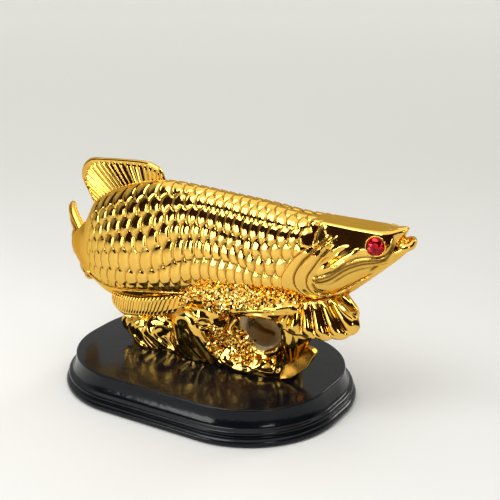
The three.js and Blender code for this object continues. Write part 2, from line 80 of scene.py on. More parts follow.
def add_object(name, data):
    """A new object in the scene that holds a mesh, a light or a camera."""
    made = bpy.data.objects.new(name, data)
    bpy.context.scene.collection.objects.link(made)
    return made


def mesh_piece(name, points, faces, smooth=True):
    """A mesh object made from points in millimetres, at their place in the frame."""
    mesh = bpy.data.meshes.new(name)
    mesh.from_pydata((np.asarray(points, float) * MM).tolist(), [], faces)
    mesh.polygons.foreach_set("use_smooth", [smooth] * len(mesh.polygons))
    return add_object(name, mesh)


class Wire:
    """An output of a node tree. Python's operators on it add Math nodes, and node() adds any other."""

    def __init__(self, tree, socket=None):
        self.tree = tree
        self.socket = socket

    def node(self, kind, settings=None, sockets=None, output=0):
        made = self.tree.nodes.new(kind)
        for name, value in (settings or {}).items():
            setattr(made, name, value)
        for name, value in (sockets or {}).items():
            if isinstance(value, Wire):
                self.tree.links.new(value.socket, made.inputs[name])
            else:
                made.inputs[name].default_value = value
        return Wire(self.tree, made.outputs[output] if made.outputs else None)

    def math(self, operation, *values):
        return self.node("ShaderNodeMath", {"operation": operation}, dict(enumerate(values)))

    def __add__(self, other):
        return self.math("ADD", self, other)

    def __sub__(self, other):
        return self.math("SUBTRACT", self, other)

    def __rsub__(self, other):
        return self.math("SUBTRACT", other, self)

    def __mul__(self, other):
        return self.math("MULTIPLY", self, other)

    def __truediv__(self, other):
        return self.math("DIVIDE", self, other)

    __radd__ = __add__
    __rmul__ = __mul__


def new_material(name):
    """An empty material, and the wire that its nodes are added from."""
    made = bpy.data.materials.new(name)
    made.use_nodes = True
    made.node_tree.nodes.clear()
    return made, Wire(made.node_tree)


def finish_material(tree, shader):
    tree.node("ShaderNodeOutputMaterial", None, {"Surface": shader})


def noise(tree, place, scale, detail, roughness=0.5):
    sockets = {"Vector": place, "Scale": scale, "Detail": detail, "Roughness": roughness}
    return tree.node("ShaderNodeTexNoise", None, sockets)


def blend_colours(tree, factor, first, second):
    return tree.node("ShaderNodeMix", {"data_type": "RGBA"}, {0: factor, 6: first, 7: second}, 2)


def black_lacquer():
    """Sprayed and rubbed: a deep gloss with faint orange peel, and blue-black where light grazes it."""
    made, tree = new_material("black_lacquer")
    place = tree.node("ShaderNodeTexCoord", output="Object")
    clouds = noise(tree, place, 60, 3)
    peel = noise(tree, place, 420, 2)
    dust = noise(tree, place, 2600, 1)
    colour = blend_colours(tree, clouds, (0.002, 0.003, 0.005, 1), (0.005, 0.006, 0.009, 1))
    roughness = 0.10 + clouds * 0.07 + dust * 0.03
    bump = tree.node("ShaderNodeBump", None, {"Strength": 0.16, "Distance": 0.0004, "Height": peel})
    finish_material(tree, tree.node("ShaderNodeBsdfPrincipled", None, {
        "Base Color": colour, "Roughness": roughness, "Normal": bump, "IOR": 1.3,
    }))
    return made


base_low, base_high = (np.array(corner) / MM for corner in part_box("base"))
base_half_length = (base_high[0] - base_low[0]) / 2
base_half_width = (base_high[1] - base_low[1]) / 2
base_height = base_high[2]
end_radius = 33.2
# Height, and inset from the widest outline, from the underside to the top
moulding = [
    (0, 0.9), (0.5, 0.25), (1.3, 0), (2.1, 0.2), (2.8, 1.0), (3.0, 1.75), (3.7, 1.2), (4.4, 0.95),
    (5.1, 1.4), (5.5, 2.4), (7.0, 3.2), (9.2, 3.75), (10.9, 3.9),
]
moulding_step = 0.16
top_edge_radius = 0.55
top_edge_rings = 7
top_border = 0.4
steps_per_corner = 30


def base_ring(inset, height):
    """The base's outline, counterclockwise from above: two straight sides and four quarter circles."""
    radius = end_radius - inset
    ring = []
    for corner in range(4):
        sign_x = 1 if corner in (0, 3) else -1
        sign_y = 1 if corner < 2 else -1
        angles = (corner + np.linspace(0, 1, steps_per_corner)) * math.pi / 2
        x = sign_x * (base_half_length - end_radius) + radius * np.cos(angles)
        y = sign_y * (base_half_width - end_radius) + radius * np.sin(angles)
        ring.append(np.stack([x, y, np.full_like(x, height)], 1))
    return np.concatenate(ring)


def make_base():
    """Rings up the moulding and round the top's edge, closed by one face at each end."""
    moulding_top, last_inset = moulding[-1]
    edge = [(curve(moulding, height), height) for height in np.arange(0, moulding_top, moulding_step)]
    for angle in np.linspace(0, math.pi / 2, top_edge_rings):
        inset = last_inset + top_edge_radius * (1 - math.cos(angle))
        edge.append((inset, base_height - top_edge_radius * (1 - math.sin(angle))))
    edge.append((last_inset + top_edge_radius + top_border, base_height))
    rings = [base_ring(inset, height) for inset, height in edge]
    around = len(rings[0])
    faces = ring_faces(len(rings), around)
    faces.append(list(range(around))[::-1])
    faces.append([(len(rings) - 1) * around + i for i in range(around)])
    return mesh_piece("base_board", np.concatenate(rings), faces)


base_board = make_base()
base_board.data.materials.append(black_lacquer())
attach(base_board, "root")
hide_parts("base")


# Wave and rock casting
# The wave, the rock and the coral ledge are one resin casting with the fish, modelled in clay
# from lumps and rolled strands, then plated with bright gold over a lacquer ground.

def smooth_line(points, spacing=0.5):
    """Points closely spaced along a smooth line through the given ones."""
    points = np.array(points, float)
    lengths = np.r_[0, np.cumsum(np.linalg.norm(np.diff(points[:, :2], axis=0), axis=1))]
    at = np.linspace(0, lengths[-1], max(4, int(lengths[-1] / spacing)))
    return np.stack([curve(list(zip(lengths, column)), at) for column in points.T], 1)


class Clay:
    """A block of space in cells that holds how far each corner is from the surface, below 0 inside."""

    whole = (slice(None),) * 3
    farthest = 9.0

    def __init__(self, x, y, z):
        self.axes = (x, y, z)
        self.x, self.y, self.z = x[:, None, None], y[None, :, None], z[None, None, :]
        self.field = np.full((len(x), len(y), len(z)), self.farthest)

    def even(self):
        """Rescales the field so that it counts in millimetres near the surface."""
        slopes = np.gradient(self.field, *self.axes)
        steep = np.sqrt(sum(slope ** 2 for slope in slopes))
        self.field /= np.maximum(steep, 0.05)
        np.clip(self.field, -self.farthest, self.farthest, out=self.field)

    def box(self, low, high):
        """The part of the block between two corners, as slices and as its places."""
        spans = [slice(*np.searchsorted(axis, ends)) for axis, *ends in zip(self.axes, low, high)]
        x, y, z = (a[s] for a, s in zip(self.axes, spans))
        return tuple(spans), x[:, None, None], y[None, :, None], z[None, None, :]

    def join(self, part, distance, blend):
        """Adds a shape, with a fillet as wide as blend."""
        here = self.field[part]
        near = np.maximum(blend - np.abs(here - distance), 0) / blend
        self.field[part] = np.minimum(here, distance) - near * near * blend / 4

    def carve(self, part, distance, blend):
        """Takes a shape away, with an edge rounded as wide as blend."""
        here = self.field[part]
        near = np.maximum(blend - np.abs(here + distance), 0) / blend
        self.field[part] = np.maximum(here, -distance) + near * near * blend / 4

    def egg(self, centre, radii, low, high):
        """The cells between two corners, and how far they are from an egg round a centre."""
        part, *places = self.box(low, high)
        squares = [((at - middle) / radius) ** 2 for at, middle, radius in zip(places, centre, radii)]
        return part, (np.sqrt(sum(squares)) - 1) * min(radii)

    def rope(self, line, reach=2):
        """The cells near a line of (x, y, z, radius) points, and how far they are from its surface."""
        low = (line[:, :3] - line[:, 3:] - reach).min(0)
        high = (line[:, :3] + line[:, 3:] + reach).max(0)
        part, x, y, z = self.box(low, high)
        nearest = np.full(np.broadcast_shapes(x.shape, y.shape, z.shape), self.farthest)
        for a, b in zip(line[:-1], line[1:]):
            step = b[:3] - a[:3]
            along = (x - a[0]) * step[0] + (y - a[1]) * step[1] + (z - a[2]) * step[2]
            along = np.clip(along / (step @ step + 1e-9), 0, 1)
            across = (x - a[0] - along * step[0]) ** 2 + (y - a[1] - along * step[1]) ** 2
            across += (z - a[2] - along * step[2]) ** 2
            nearest = np.minimum(nearest, np.sqrt(across) - a[3] - along * (b[3] - a[3]))
        return part, nearest

    def front(self, x, z, side):
        """The y of the outermost surface at places x and z, seen from the -1 or the +1 side."""
        i = np.clip(np.searchsorted(self.axes[0], x), 0, len(self.axes[0]) - 1)
        k = np.clip(np.searchsorted(self.axes[2], z), 0, len(self.axes[2]) - 1)
        columns = self.field[i, :, k] < 0
        hit = np.argmax(columns if side < 0 else columns[:, ::-1], axis=1)
        y = self.axes[1] if side < 0 else self.axes[1][::-1]
        return np.where(columns.any(1), y[hit], side * 4.0)

    def strand(self, points, radius, side=-1):
        """Rolls a strand of clay onto the surface along (x, z) points, thinner at its two ends. Its depth
        follows the surface, evened out along it."""
        evened = 7
        blend = 0.35
        sunk = 0.15
        taper = 0.3
        flat = smooth_line(points)
        depth = self.front(flat[:, 0], flat[:, 1], side)
        padded = np.pad(depth, evened // 2, mode="edge")
        smooth = np.convolve(padded, np.ones(evened) / evened, mode="valid")
        t = np.linspace(0, 1, len(flat))
        thick = radius * (1 - taper * (2 * t - 1) ** 4)
        y = smooth - side * thick * sunk
        line = np.stack([flat[:, 0], y, flat[:, 1], thick], 1)
        self.join(*self.rope(line, blend + 0.8), blend)

    def read(self, values, places):
        """A grid of values read between its corners at places."""
        index = [np.interp(places[:, k], self.axes[k], np.arange(len(self.axes[k]))) for k in range(3)]
        low = [np.minimum(np.floor(i).astype(int), n - 2) for i, n in zip(index, values.shape)]
        parts = [i - start for i, start in zip(index, low)]
        total = 0
        for corner in range(8):
            bits = [(corner >> k) & 1 for k in range(3)]
            weight = np.prod([p if bit else 1 - p for p, bit in zip(parts, bits)], axis=0)
            total = total + weight * values[tuple(start + bit for start, bit in zip(low, bits))]
        return total

    def skin(self):
        """The surface as points and four-sided faces: one point in each cell that it crosses."""
        f = self.field
        stride = np.array([f.shape[1] * f.shape[2], f.shape[2], 1])
        sums = np.zeros((f.size, 3))
        counts = np.zeros(f.size)
        quads = []
        for a in range(3):
            b, c = (a + 1) % 3, (a + 2) % 3
            step = np.eye(3, dtype=int)[a]
            low = np.take(f, range(f.shape[a] - 1), a) < 0
            high = np.take(f, range(1, f.shape[a]), a) < 0
            at = np.argwhere(low != high)
            at = at[(at[:, b] > 0) & (at[:, c] > 0)]
            at = at[(at[:, b] < f.shape[b] - 1) & (at[:, c] < f.shape[c] - 1)]
            first, second = f[tuple(at.T)], f[tuple((at + step).T)]
            crossing = at + (first / (first - second))[:, None] * step
            cell = at @ stride
            around = [cell, cell - stride[b], cell - stride[b] - stride[c], cell - stride[c]]
            for owner in around:
                counts += np.bincount(owner, minlength=f.size)
                for k in range(3):
                    sums[:, k] += np.bincount(owner, crossing[:, k], f.size)
            quad = np.stack(around, 1)
            quads.append(np.where((first < 0)[:, None], quad, quad[:, ::-1]))
        quads = np.concatenate(quads)
        used, faces = np.unique(quads, return_inverse=True)
        faces = faces.reshape(-1, 4)
        grid = sums[used] / counts[used][:, None]
        points = [np.interp(at, np.arange(len(axis)), axis) for at, axis in zip(grid.T, self.axes)]
        points = np.stack(points, 1)
        slopes = np.gradient(f, *self.axes)
        for turn in range(6):
            if turn < 3:
                points = self.relax(points, faces)
            pull = self.read(f, points)
            slope = np.stack([self.read(s, points) for s in slopes], 1)
            points -= (pull / np.maximum((slope ** 2).sum(1), 0.2))[:, None] * slope
        return points, faces.tolist()

    @staticmethod
    def relax(points, faces):
        """Moves each point half way to the middle of the faces round it."""
        middles = points[faces].mean(1)
        total = np.zeros_like(points)
        owners = faces.ravel()
        spread = np.repeat(middles, 4, axis=0)
        for k in range(3):
            total[:, k] = np.bincount(owners, spread[:, k], len(points))
        counts = np.bincount(owners, minlength=len(points))
        return (points + total / counts[:, None]) / 2


# Level slices of each lump: height, centre x, centre y, half length, half width
wave_lump = [
    (11.5, -21, 1, 10, 9), (14.5, -22, 1, 11, 9), (18, -23.6, 0.6, 12, 8.6), (21, -22.4, 0.4, 12.2, 7.4),
    (23.2, -20, 0.4, 10.6, 5.6),
]
fold_lump = [
    (11.5, -3, 1.4, 13, 9), (18, -2, 0.8, 12.6, 9.8), (24, -1, 0.2, 12, 10.4), (29, 0.6, 0, 11.4, 10.2),
    (33.5, 3.6, 0, 9.6, 8.6),
]
back_lump = [(11.5, 18, 4.4, 14, 7.4), (20, 18, 4.6, 14, 7.4), (28, 19, 4, 14, 8), (34, 20, 3, 14, 9)]
sill_lump = [
    (11.5, 18, -1.6, 13.4, 5), (14, 17.4, -1.8, 13, 5.4), (16.6, 16.4, -1, 12, 4.6),
    (18.4, 15.6, 0, 11, 3.4),
]
column_lump = [
    (11.5, 29.8, 2.4, 4.8, 4.8), (17, 31, 1.8, 4.8, 5), (23, 33, 0, 5.2, 6.8), (29, 35.4, -1, 6.6, 9),
    (34, 36.4, -1, 6.4, 9.6),
]
# Sections of the ledge: x, middle height, half height, half width
ledge_sections = [
    (-9, 33, 2.4, 5), (-4, 35, 3.6, 9), (2, 37, 5, 11.8), (9, 38.4, 6.2, 13), (18, 38.8, 6.6, 13.9),
    (27, 39.4, 6.2, 13.9), (35, 40.2, 5.2, 13), (41, 40.6, 3.6, 10.4),
]
# Strands on the side that shows: radius, then (x, z) places
front_strands = [
    (1.25, [(-31.4, 20.8), (-33.0, 19.4), (-33.2, 17.0), (-31.8, 15.2)]),
    (1.15, [(-32, 21), (-27, 21.9), (-21.8, 23.1), (-17, 23.3), (-11.5, 24.4)]),
    (0.8, [(-29.6, 14.2), (-30.2, 17.4), (-29, 19.6), (-27.6, 20.3)]),
    (0.75, [(-27.4, 15.8), (-27.3, 18.8), (-25.8, 20.6), (-24.2, 21.4), (-22.2, 21.3), (-21.5, 20)]),
    (0.65, [(-25.8, 16.2), (-25.5, 18.7), (-24.2, 19.8), (-22.9, 19.6)]),
    (0.9, [(-19.4, 23.2), (-20.7, 22.1), (-20.9, 20.3), (-20.3, 18.4), (-19, 16.6), (-17.8, 15),
           (-16.4, 13.4), (-15, 12.2)]),
    (0.8, [(-12.8, 20.6), (-14.4, 20.6), (-16, 20.9), (-17.7, 20.7), (-18.8, 19.6), (-18.8, 18),
           (-17.9, 16.1), (-16.5, 14.6), (-14.8, 12.9), (-13.2, 12)]),
    (0.75, [(-23.4, 18.2), (-22.8, 16.4), (-21.5, 14.8), (-20, 13.4), (-18.2, 12.3)]),
    (0.8, [(-27.6, 15.2), (-26, 13.9), (-23.8, 12.8), (-21.6, 12.1)]),
    (0.55, [(-16.4, 16.2), (-15, 16.2), (-13.4, 14.4), (-11.2, 12.3)]),
    (0.55, [(-16.4, 16.2), (-15.6, 14.4), (-13.8, 13), (-11.2, 12.3)]),
    (2.6, [(-5.6, 21), (-5.6, 25.4), (-4.2, 28), (-1.9, 28.7), (0, 27.6), (1, 25.2), (2, 22.3), (3.3, 19.2),
           (4.5, 15.8), (5.2, 12.6)]),
    (0.6, [(-3.6, 22.4), (-2.6, 23.8), (-1.4, 23), (-0.1, 21.4), (1, 19.2), (1.9, 16.6), (2.4, 14.2),
           (2.7, 12.2)]),
    (0.6, [(-3.6, 22.4), (-3.2, 20), (-2.2, 17.6), (-0.8, 15.2), (0.8, 13.2), (2.4, 12)]),
    (0.85, [(-9.6, 25.4), (-8, 27.2), (-4.9, 30.6), (-0.9, 34.4), (3.4, 38.3), (6.4, 41)]),
    (0.7, [(-11.4, 26.4), (-9, 29), (-5.8, 32.4), (-2, 36.2), (1.4, 39.4)]),
    (0.8, [(-14.8, 23.2), (-11.8, 24.2), (-9.4, 25.6), (-7, 28)]),
    (0.7, [(-9.2, 22.6), (-8.8, 19.4), (-7.4, 16.4), (-5.2, 13.8), (-3.4, 12.2)]),
    (0.55, [(-11, 19), (-10.2, 16.6), (-8.6, 14.2), (-7, 12.2)]),
    (0.7, [(1.8, 28.2), (2, 26.3), (4, 26), (6.8, 27.6), (5.8, 29.3), (3.4, 29.5), (1.8, 28.2)]),
    (0.55, [(4.9, 20.4), (5.5, 17.4), (6, 15), (6.4, 12.8)]),
    (0.5, [(6.4, 19.4), (6.8, 17), (7.4, 14.8), (8.2, 13)]),
    (0.75, [(12.6, 32.8), (16, 35.2), (19.5, 36.7), (23.4, 37.9), (27.7, 38.9), (31.8, 39.7), (35.5, 40.6),
            (39, 41.6)]),
    (0.7, [(12.8, 31), (16, 33.4), (19.4, 35), (22.6, 36.2), (26.2, 37), (29.9, 37.2), (32.6, 36),
           (35, 34.5), (37.2, 33.1), (39.6, 32), (41.6, 31.6)]),
    (0.6, [(31.4, 38), (34.4, 38.7), (37, 39.2), (39, 39.2), (39.4, 37.8), (37.6, 36.7), (34.8, 36.6),
           (32.8, 37.1)]),
    (0.9, [(32.4, 31.2), (32.8, 28.6), (32.4, 25.8), (31.4, 22.4), (29.6, 17.4), (28.2, 13)]),
    (0.75, [(34.4, 31.4), (34.8, 29), (34.5, 26.4), (33.8, 22.4), (32, 17.4), (30.6, 13)]),
    (1.0, [(36.6, 32.4), (36.8, 30), (36.2, 27), (35.2, 23), (33.8, 18.4)]),
    (0.75, [(38.8, 32.6), (38.9, 30.6), (38.1, 27.2), (36.8, 23.6), (35.4, 20)]),
    (0.7, [(27.6, 25.2), (29.6, 26.4), (31, 25.2), (30.8, 22.8), (29.6, 20.9), (27.6, 21.2), (26.8, 23.2),
           (27.6, 25.2)]),
]
# The same, for the rim of the bowl, which is laid once the bowl is carved
bowl_strands = [
    (0.8, [(10.6, 28.8), (9.2, 25.6), (8.2, 21.6), (7.6, 18.4), (8, 15.6), (10, 13.8), (13, 13)]),
    (0.8, [(12, 13.2), (16.5, 12.5), (20.5, 12.9), (23.2, 14.4), (24.9, 16.6)]),
    (0.55, [(6.6, 15.4), (8, 13.2), (10.6, 12.2), (14, 12)]),
]
# Places along the round hollow's middle, the crease in its back wall, and the rim on its left
hollow_line = [(29.5, -14, 29.6), (25.4, -6, 28), (22.4, 1.2, 26.6)]
hollow_radius = 6.3
crease_line = [(15.6, 3, 27.9), (16.6, 3.6, 25.6), (18.9, 5, 23.2), (22.8, 5.5, 22.3)]
crease_radius = 0.5
rim_line = [(17.2, -9.6, 31.8), (15.2, -9.8, 28), (16.4, -8.6, 23.8), (20.6, -8.2, 21.2)]
rim_radius = 0.7
# Height of the ridge that runs along the ledge on the far side, at places along the casting
lip_heights = [(-8, 29), (-2, 34), (6, 38), (14, 39.6), (24, 40.4), (34, 41), (40, 41)]
# Heights between which the ledge is gritty
grit_low = [
    (-9, 29), (-5, 31.5), (0, 34), (4.5, 37), (9, 31), (12, 33.4), (20, 37.6), (30, 40.2), (38, 42),
    (44, 42.6),
]
grit_high = [(-9, 33), (-5, 36), (0, 41), (9, 47), (20, 48), (34, 47.5), (44, 45)]


def ease(value):
    value = np.clip(value, 0, 1)
    return value * value * (3 - 2 * value)


def lump_distance(slices, x, y, z):
    """How far places are from a lump that is given by its level slices, below 0 inside it."""
    centre_x, centre_y, half_x, half_y = (
        curve([(cut[0], cut[k]) for cut in slices], z) for k in (1, 2, 3, 4)
    )
    reach = np.sqrt(((x - centre_x) / half_x) ** 2 + ((y - centre_y) / half_y) ** 2)
    side = (reach - 1) * np.minimum(half_x, half_y)
    return np.maximum(side, np.maximum(slices[0][0] - z, z - slices[-1][0]))


def ledge_distance(x, y, z):
    """How far places are from the ledge, whose sections are rounded oblongs that narrow towards the top."""
    squareness = 2.67
    middle, half_z, half_y = (curve([(cut[0], cut[k]) for cut in ledge_sections], x) for k in (1, 2, 3))
    rise = (z - middle) / half_z
    lean = 1 - 0.22 * np.clip(rise, 0, 1)
    reach = (np.abs(rise) ** squareness + np.abs(y / (half_y * lean)) ** squareness) ** (1 / squareness)
    side = (reach - 1) * np.minimum(half_z, half_y)
    return np.maximum(side, np.maximum(ledge_sections[0][0] - x, x - ledge_sections[-1][0]))


def grit_share(points):
    """How thickly the grit lies at points of the rock in millimetres: on the ledge, inside the bowl and
    on the column beside it, but not in the round hollow."""
    border = 0.8
    x, y, z = points.T
    ledge = ease((z - curve(grit_low, x)) / border) * ease((curve(grit_high, x) - z) / border)
    ledge = ledge * ease((x - grit_low[0][0]) / 1.5)
    bowl = ease((7.9 - np.sqrt(((x - 16) / 1.15) ** 2 + (y + 9) ** 2 + (z - 21) ** 2)) / border)
    bowl = bowl * ease((z - 14) / 1.5)
    column = ease((2.6 - np.hypot(x - 7.4, (z - 21.5) / 2.4)) / border) * (y < 0)
    hollow = np.sqrt((x - 24.5) ** 2 + ((y + 1) / 2) ** 2 + (z - 27.4) ** 2)
    return np.maximum(np.maximum(ledge, bowl), column) * ease((hollow - hollow_radius - 0.6) / 0.5)


def roll_far_strands(clay, draw):
    """The far side's strands run down from the ledge to the foot, each with its own sweep, and a ridge
    runs along the ledge above them."""
    bends = 7
    foot_height = 12.4
    for count in range(15):
        start = -29 + 4.6 * count
        top = 20.5 if start < -13 else 31 + draw.uniform(-1, 1)
        sweep = draw.uniform(1.5, 5)
        heights = np.linspace(top, foot_height, bends)
        turn = np.linspace(0, math.pi, bends)
        places = [(start + sweep * math.sin(t) - 2 * t, h) for t, h in zip(turn, heights)]
        clay.strand(places, draw.uniform(0.6, 1.2), side=1)
    for low, high in ((-8, 6), (8, 40)):
        ridge = [(x, curve(lip_heights, x)) for x in np.linspace(low, high, bends)]
        clay.strand(ridge, 0.75, side=1)


def open_hollow(clay):
    """Carves the round hollow, and the bowl that leads into it from below and from the left."""
    hollow = smooth_line([(*place, hollow_radius) for place in hollow_line])
    clay.carve(*clay.rope(hollow), 0.7)
    mouth = clay.egg((22.9, -9.5, 28.9), (8.2, 6.6, 5.4), (12, -16, 20), (34, 0, 38))
    clay.carve(*mouth, 0.8)
    bowl = clay.egg((16.4, -10.5, 20), (7.6, 7.4, 6.4), (4, -16, 11), (29, 3, 27))
    clay.carve(*bowl, 0.9)
    crease = smooth_line([(*place, crease_radius) for place in crease_line])
    clay.carve(*clay.rope(crease), 0.5)
    for radius, points in bowl_strands:
        clay.strand(points, radius)
    rim = smooth_line([(*place, rim_radius) for place in rim_line])
    clay.join(*clay.rope(rim), 0.6)


def roughen(clay, draw):
    """Under the grit the clay itself is lumpy: waves in seven directions, added up."""
    lump_height = 0.17
    grid = np.stack(np.broadcast_arrays(clay.x, clay.y, clay.z), -1)
    near = np.abs(clay.field) < 1.2
    places = grid[near]
    lumps = 0
    for _ in range(7):
        turn = draw.normal(size=3)
        turn *= 2 * math.pi / draw.uniform(1.7, 3.2) / np.linalg.norm(turn)
        lumps = lumps + np.sin(places @ turn + draw.uniform(0, 6.3))
    clay.field[near] += lump_height * lumps * grit_share(places)


def model_rock():
    """The casting in clay: lumps run together, with strands rolled over them, and the hollow carved."""
    step = 0.4
    clay = Clay(np.arange(-36, 44, step), np.arange(-15.6, 15.7, step), np.arange(10.4, 48, step))
    x, y, z = clay.x, clay.y, clay.z
    for slices in (wave_lump, fold_lump, back_lump, sill_lump, column_lump):
        clay.join(clay.whole, lump_distance(slices, x, y, z), 2.4)
    clay.join(clay.whole, ledge_distance(x, y, z), 1.6)
    clay.even()
    ripple = np.sin(0.62 * x + 0.5 * z + 0.3 * y) * np.sin(0.34 * z - 0.5 * x + 1.3)
    clay.field += 0.3 * ripple
    for radius, points in front_strands:
        clay.strand(points, radius)
    draw = np.random.default_rng(11)
    roll_far_strands(clay, draw)
    # A block of rock stands out between the hollow and the column.
    block = np.array([(28.4, -6.4, 22, 2.2), (30, -6.8, 23.8, 2.4)])
    clay.join(*clay.rope(block), 0.8)
    open_hollow(clay)
    roughen(clay, draw)
    return clay


def hollow_crease_shade(points):
    """Painted shade along the crease in the hollow's back wall: how dark it is at points in millimetres."""
    gap = np.full(len(points), 99.0)
    for x, _, z in smooth_line(crease_line):
        gap = np.minimum(gap, np.hypot(points[:, 0] - x, points[:, 2] - z))
    return ease((0.9 - gap) / 0.6) * (points[:, 1] > 0)


def mark_recesses(piece, low, high, drawn=None):
    """Stores how deep each point lies in a crease, from how the points around it stand above it. The gold
    paints shade into creases by this depth, and drawn adds more painted shade along lines.
    """
    mesh = piece.data
    points = np.array([corner.co for corner in mesh.vertices]) / MM
    normals = np.array([corner.normal for corner in mesh.vertices])
    ends = np.array([edge.vertices[:] for edge in mesh.edges])
    steps = points[ends[:, 1]] - points[ends[:, 0]]
    weight = 1 / np.maximum((steps ** 2).sum(1), 1e-4)
    total = np.zeros(len(points))
    for one, sign in ((0, 1), (1, -1)):
        rise = sign * (steps * normals[ends[:, one]]).sum(1) * weight
        total += np.bincount(ends[:, one], rise, len(points))
    counts = np.bincount(ends.ravel(), minlength=len(points))
    hollow = 2 * total / np.maximum(counts, 1)
    depth = ease((hollow - low) / (high - low))
    if drawn is not None:
        depth = np.maximum(depth, drawn(points))
    layer = mesh.attributes.new("recess", "FLOAT", "POINT")
    layer.data.foreach_set("value", depth)


def ramp(tree, value, low, high):
    """Goes smoothly from 0 to 1 while a value goes from low to high."""
    sockets = {"Value": value, "From Min": low, "From Max": high}
    return tree.node("ShaderNodeMapRange", {"interpolation_type": "SMOOTHSTEP"}, sockets)


def plated_gold(name, dull=None, tones=((0.86, 0.55, 0.12, 1), (0.76, 0.44, 0.075, 1)), soft=0.0):
    """Bright plating over a lacquered casting: mirror smooth, redder and softer in places, and darkened
    in its creases as painted shade. dull is the centre and the radius of a part that the bright plating
    has not reached."""
    made, tree = new_material(name)
    place = tree.node("ShaderNodeTexCoord", output="Object")
    clouds = noise(tree, place, 90, 3, 0.6)
    pores = noise(tree, place, 900, 2)
    waves = noise(tree, place, 260, 1)
    colour = blend_colours(tree, clouds, *tones)
    metallic = 1.0
    roughness = 0.035 + soft + clouds * clouds * 0.11 + pores * 0.02
    if dull is not None:
        offset = tree.node("ShaderNodeVectorMath", {"operation": "SUBTRACT"}, {0: place, 1: dull[0]})
        length = tree.node("ShaderNodeVectorMath", {"operation": "LENGTH"}, {0: offset}, 1)
        inside = ramp(tree, length, dull[1] * 1.04, dull[1] * 0.86)
        colour = blend_colours(tree, inside, colour, (0.5, 0.4, 0.25, 1))
        metallic = 1.0 - inside * 0.85
        roughness = roughness + inside * 0.42
    # The plating is thinner and browner on the tail.
    along = tree.node("ShaderNodeSeparateXYZ", None, {0: place})
    brown = ramp(tree, along + (clouds - 0.5) * 0.012, -0.047, -0.056)
    colour = blend_colours(tree, brown * 0.75, colour, (0.56, 0.27, 0.035, 1))
    roughness = roughness + brown * 0.12
    # Painted shade: creases and grooves, and the painted dark lines, are darkened towards a deep brown by
    # the recess depth, and made rougher.
    recess = tree.node("ShaderNodeAttribute", {"attribute_name": "recess"}, None, "Fac")
    colour = blend_colours(tree, recess * 0.9, colour, (0.085, 0.032, 0.006, 1))
    roughness = roughness + recess * 0.22
    height = waves * 0.6 + pores * 0.25
    bump = tree.node("ShaderNodeBump", None, {"Strength": 0.12, "Distance": 0.0003, "Height": height})
    finish_material(tree, tree.node("ShaderNodeBsdfPrincipled", None, {
        "Base Color": colour, "Metallic": metallic, "Roughness": roughness, "Normal": bump,
        "Specular Tint": (1.0, 0.78, 0.42, 1),
    }))
    return made


gold = plated_gold("gold_plating")
rock_gold = plated_gold("gold_plating_rock", dull=((23.4 * MM, -0.6 * MM, 27.8 * MM), 9.2 * MM))
rock_clay = model_rock()
rock = mesh_piece("rock_casting", *rock_clay.skin())
rock.data.materials.append(rock_gold)
# The rock's creases, and the crease in the hollow's back wall, are darkened with painted shade.
mark_recesses(rock, 0.9, 3, hollow_crease_shade)
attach(rock, "root")
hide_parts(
    "wave_scroll", "wave_fold", "rock_back", "rock_sill", "rock_column", "coral_ledge_right",
    "coral_ledge_left",
)


# Coral grit
# Coarse grit on the ledge, in the bowl and on the column beside it: grains of sand and small beads
# were stuck into the clay before casting, so they are plated with the rest.

def add_inputs(tree, inputs):
    """Gives a node tree its inputs and returns their identifiers by name."""
    return {
        name: tree.interface.new_socket(name=name, in_out="INPUT", socket_type=kind).identifier
        for name, kind in inputs.items()
    }


def grit_tree():
    """Scatters grains over the surface by its grit share, each with a turn and a size of its own."""
    group = bpy.data.node_groups.new("coral_grit", "GeometryNodeTree")
    names = add_inputs(group, {
        "Geometry": "NodeSocketGeometry", "Grain": "NodeSocketObject", "Spacing": "NodeSocketFloat",
        "Seed": "NodeSocketInt", "Finish": "NodeSocketMaterial",
    })
    group.interface.new_socket(name="Geometry", in_out="OUTPUT", socket_type="NodeSocketGeometry")
    tree = Wire(group)
    start = tree.node("NodeGroupInput").socket.node
    given = {name: Wire(group, start.outputs[name]) for name in names}
    share = tree.node("GeometryNodeInputNamedAttribute", {"data_type": "FLOAT"}, {"Name": "grit"})
    points = tree.node("GeometryNodeDistributePointsOnFaces", {"distribute_method": "POISSON"}, {
        "Mesh": given["Geometry"], "Distance Min": given["Spacing"], "Density Max": 4e6,
        "Density Factor": share, "Seed": given["Seed"],
    })
    turn = tree.node("FunctionNodeRandomValue", {"data_type": "FLOAT_VECTOR"}, {
        0: (0, 0, 0), 1: (6.28, 6.28, 6.28), "Seed": given["Seed"],
    })
    size = tree.node("FunctionNodeRandomValue", {"data_type": "FLOAT"}, {
        2: 0.5, 3: 1.35, "Seed": given["Seed"] + 1,
    }, 1)
    grain = tree.node("GeometryNodeObjectInfo", None, {"Object": given["Grain"]}, "Geometry")
    grains = tree.node("GeometryNodeInstanceOnPoints", None, {
        "Points": points, "Instance": grain, "Rotation": turn, "Scale": size,
    })
    grains = tree.node("GeometryNodeRealizeInstances", None, {"Geometry": grains})
    grains = tree.node("GeometryNodeSetMaterial", None, {"Geometry": grains, "Material": given["Finish"]})
    tree.node("NodeGroupOutput", None, {"Geometry": grains})
    return group, names


def grain_shape():
    """One grain of grit: a lump with twenty faces, pushed out of round."""
    shape = bmesh.new()
    bmesh.ops.create_icosphere(shape, subdivisions=1, radius=0.78)
    draw = np.random.default_rng(2)
    points = np.array([corner.co for corner in shape.verts])
    points *= draw.uniform(0.6, 1.25, (len(points), 1))
    points *= (1.3, 1, 0.75)
    faces = [[corner.index for corner in face.verts] for face in shape.faces]
    shape.free()
    return mesh_piece("grain", points, faces, smooth=False)


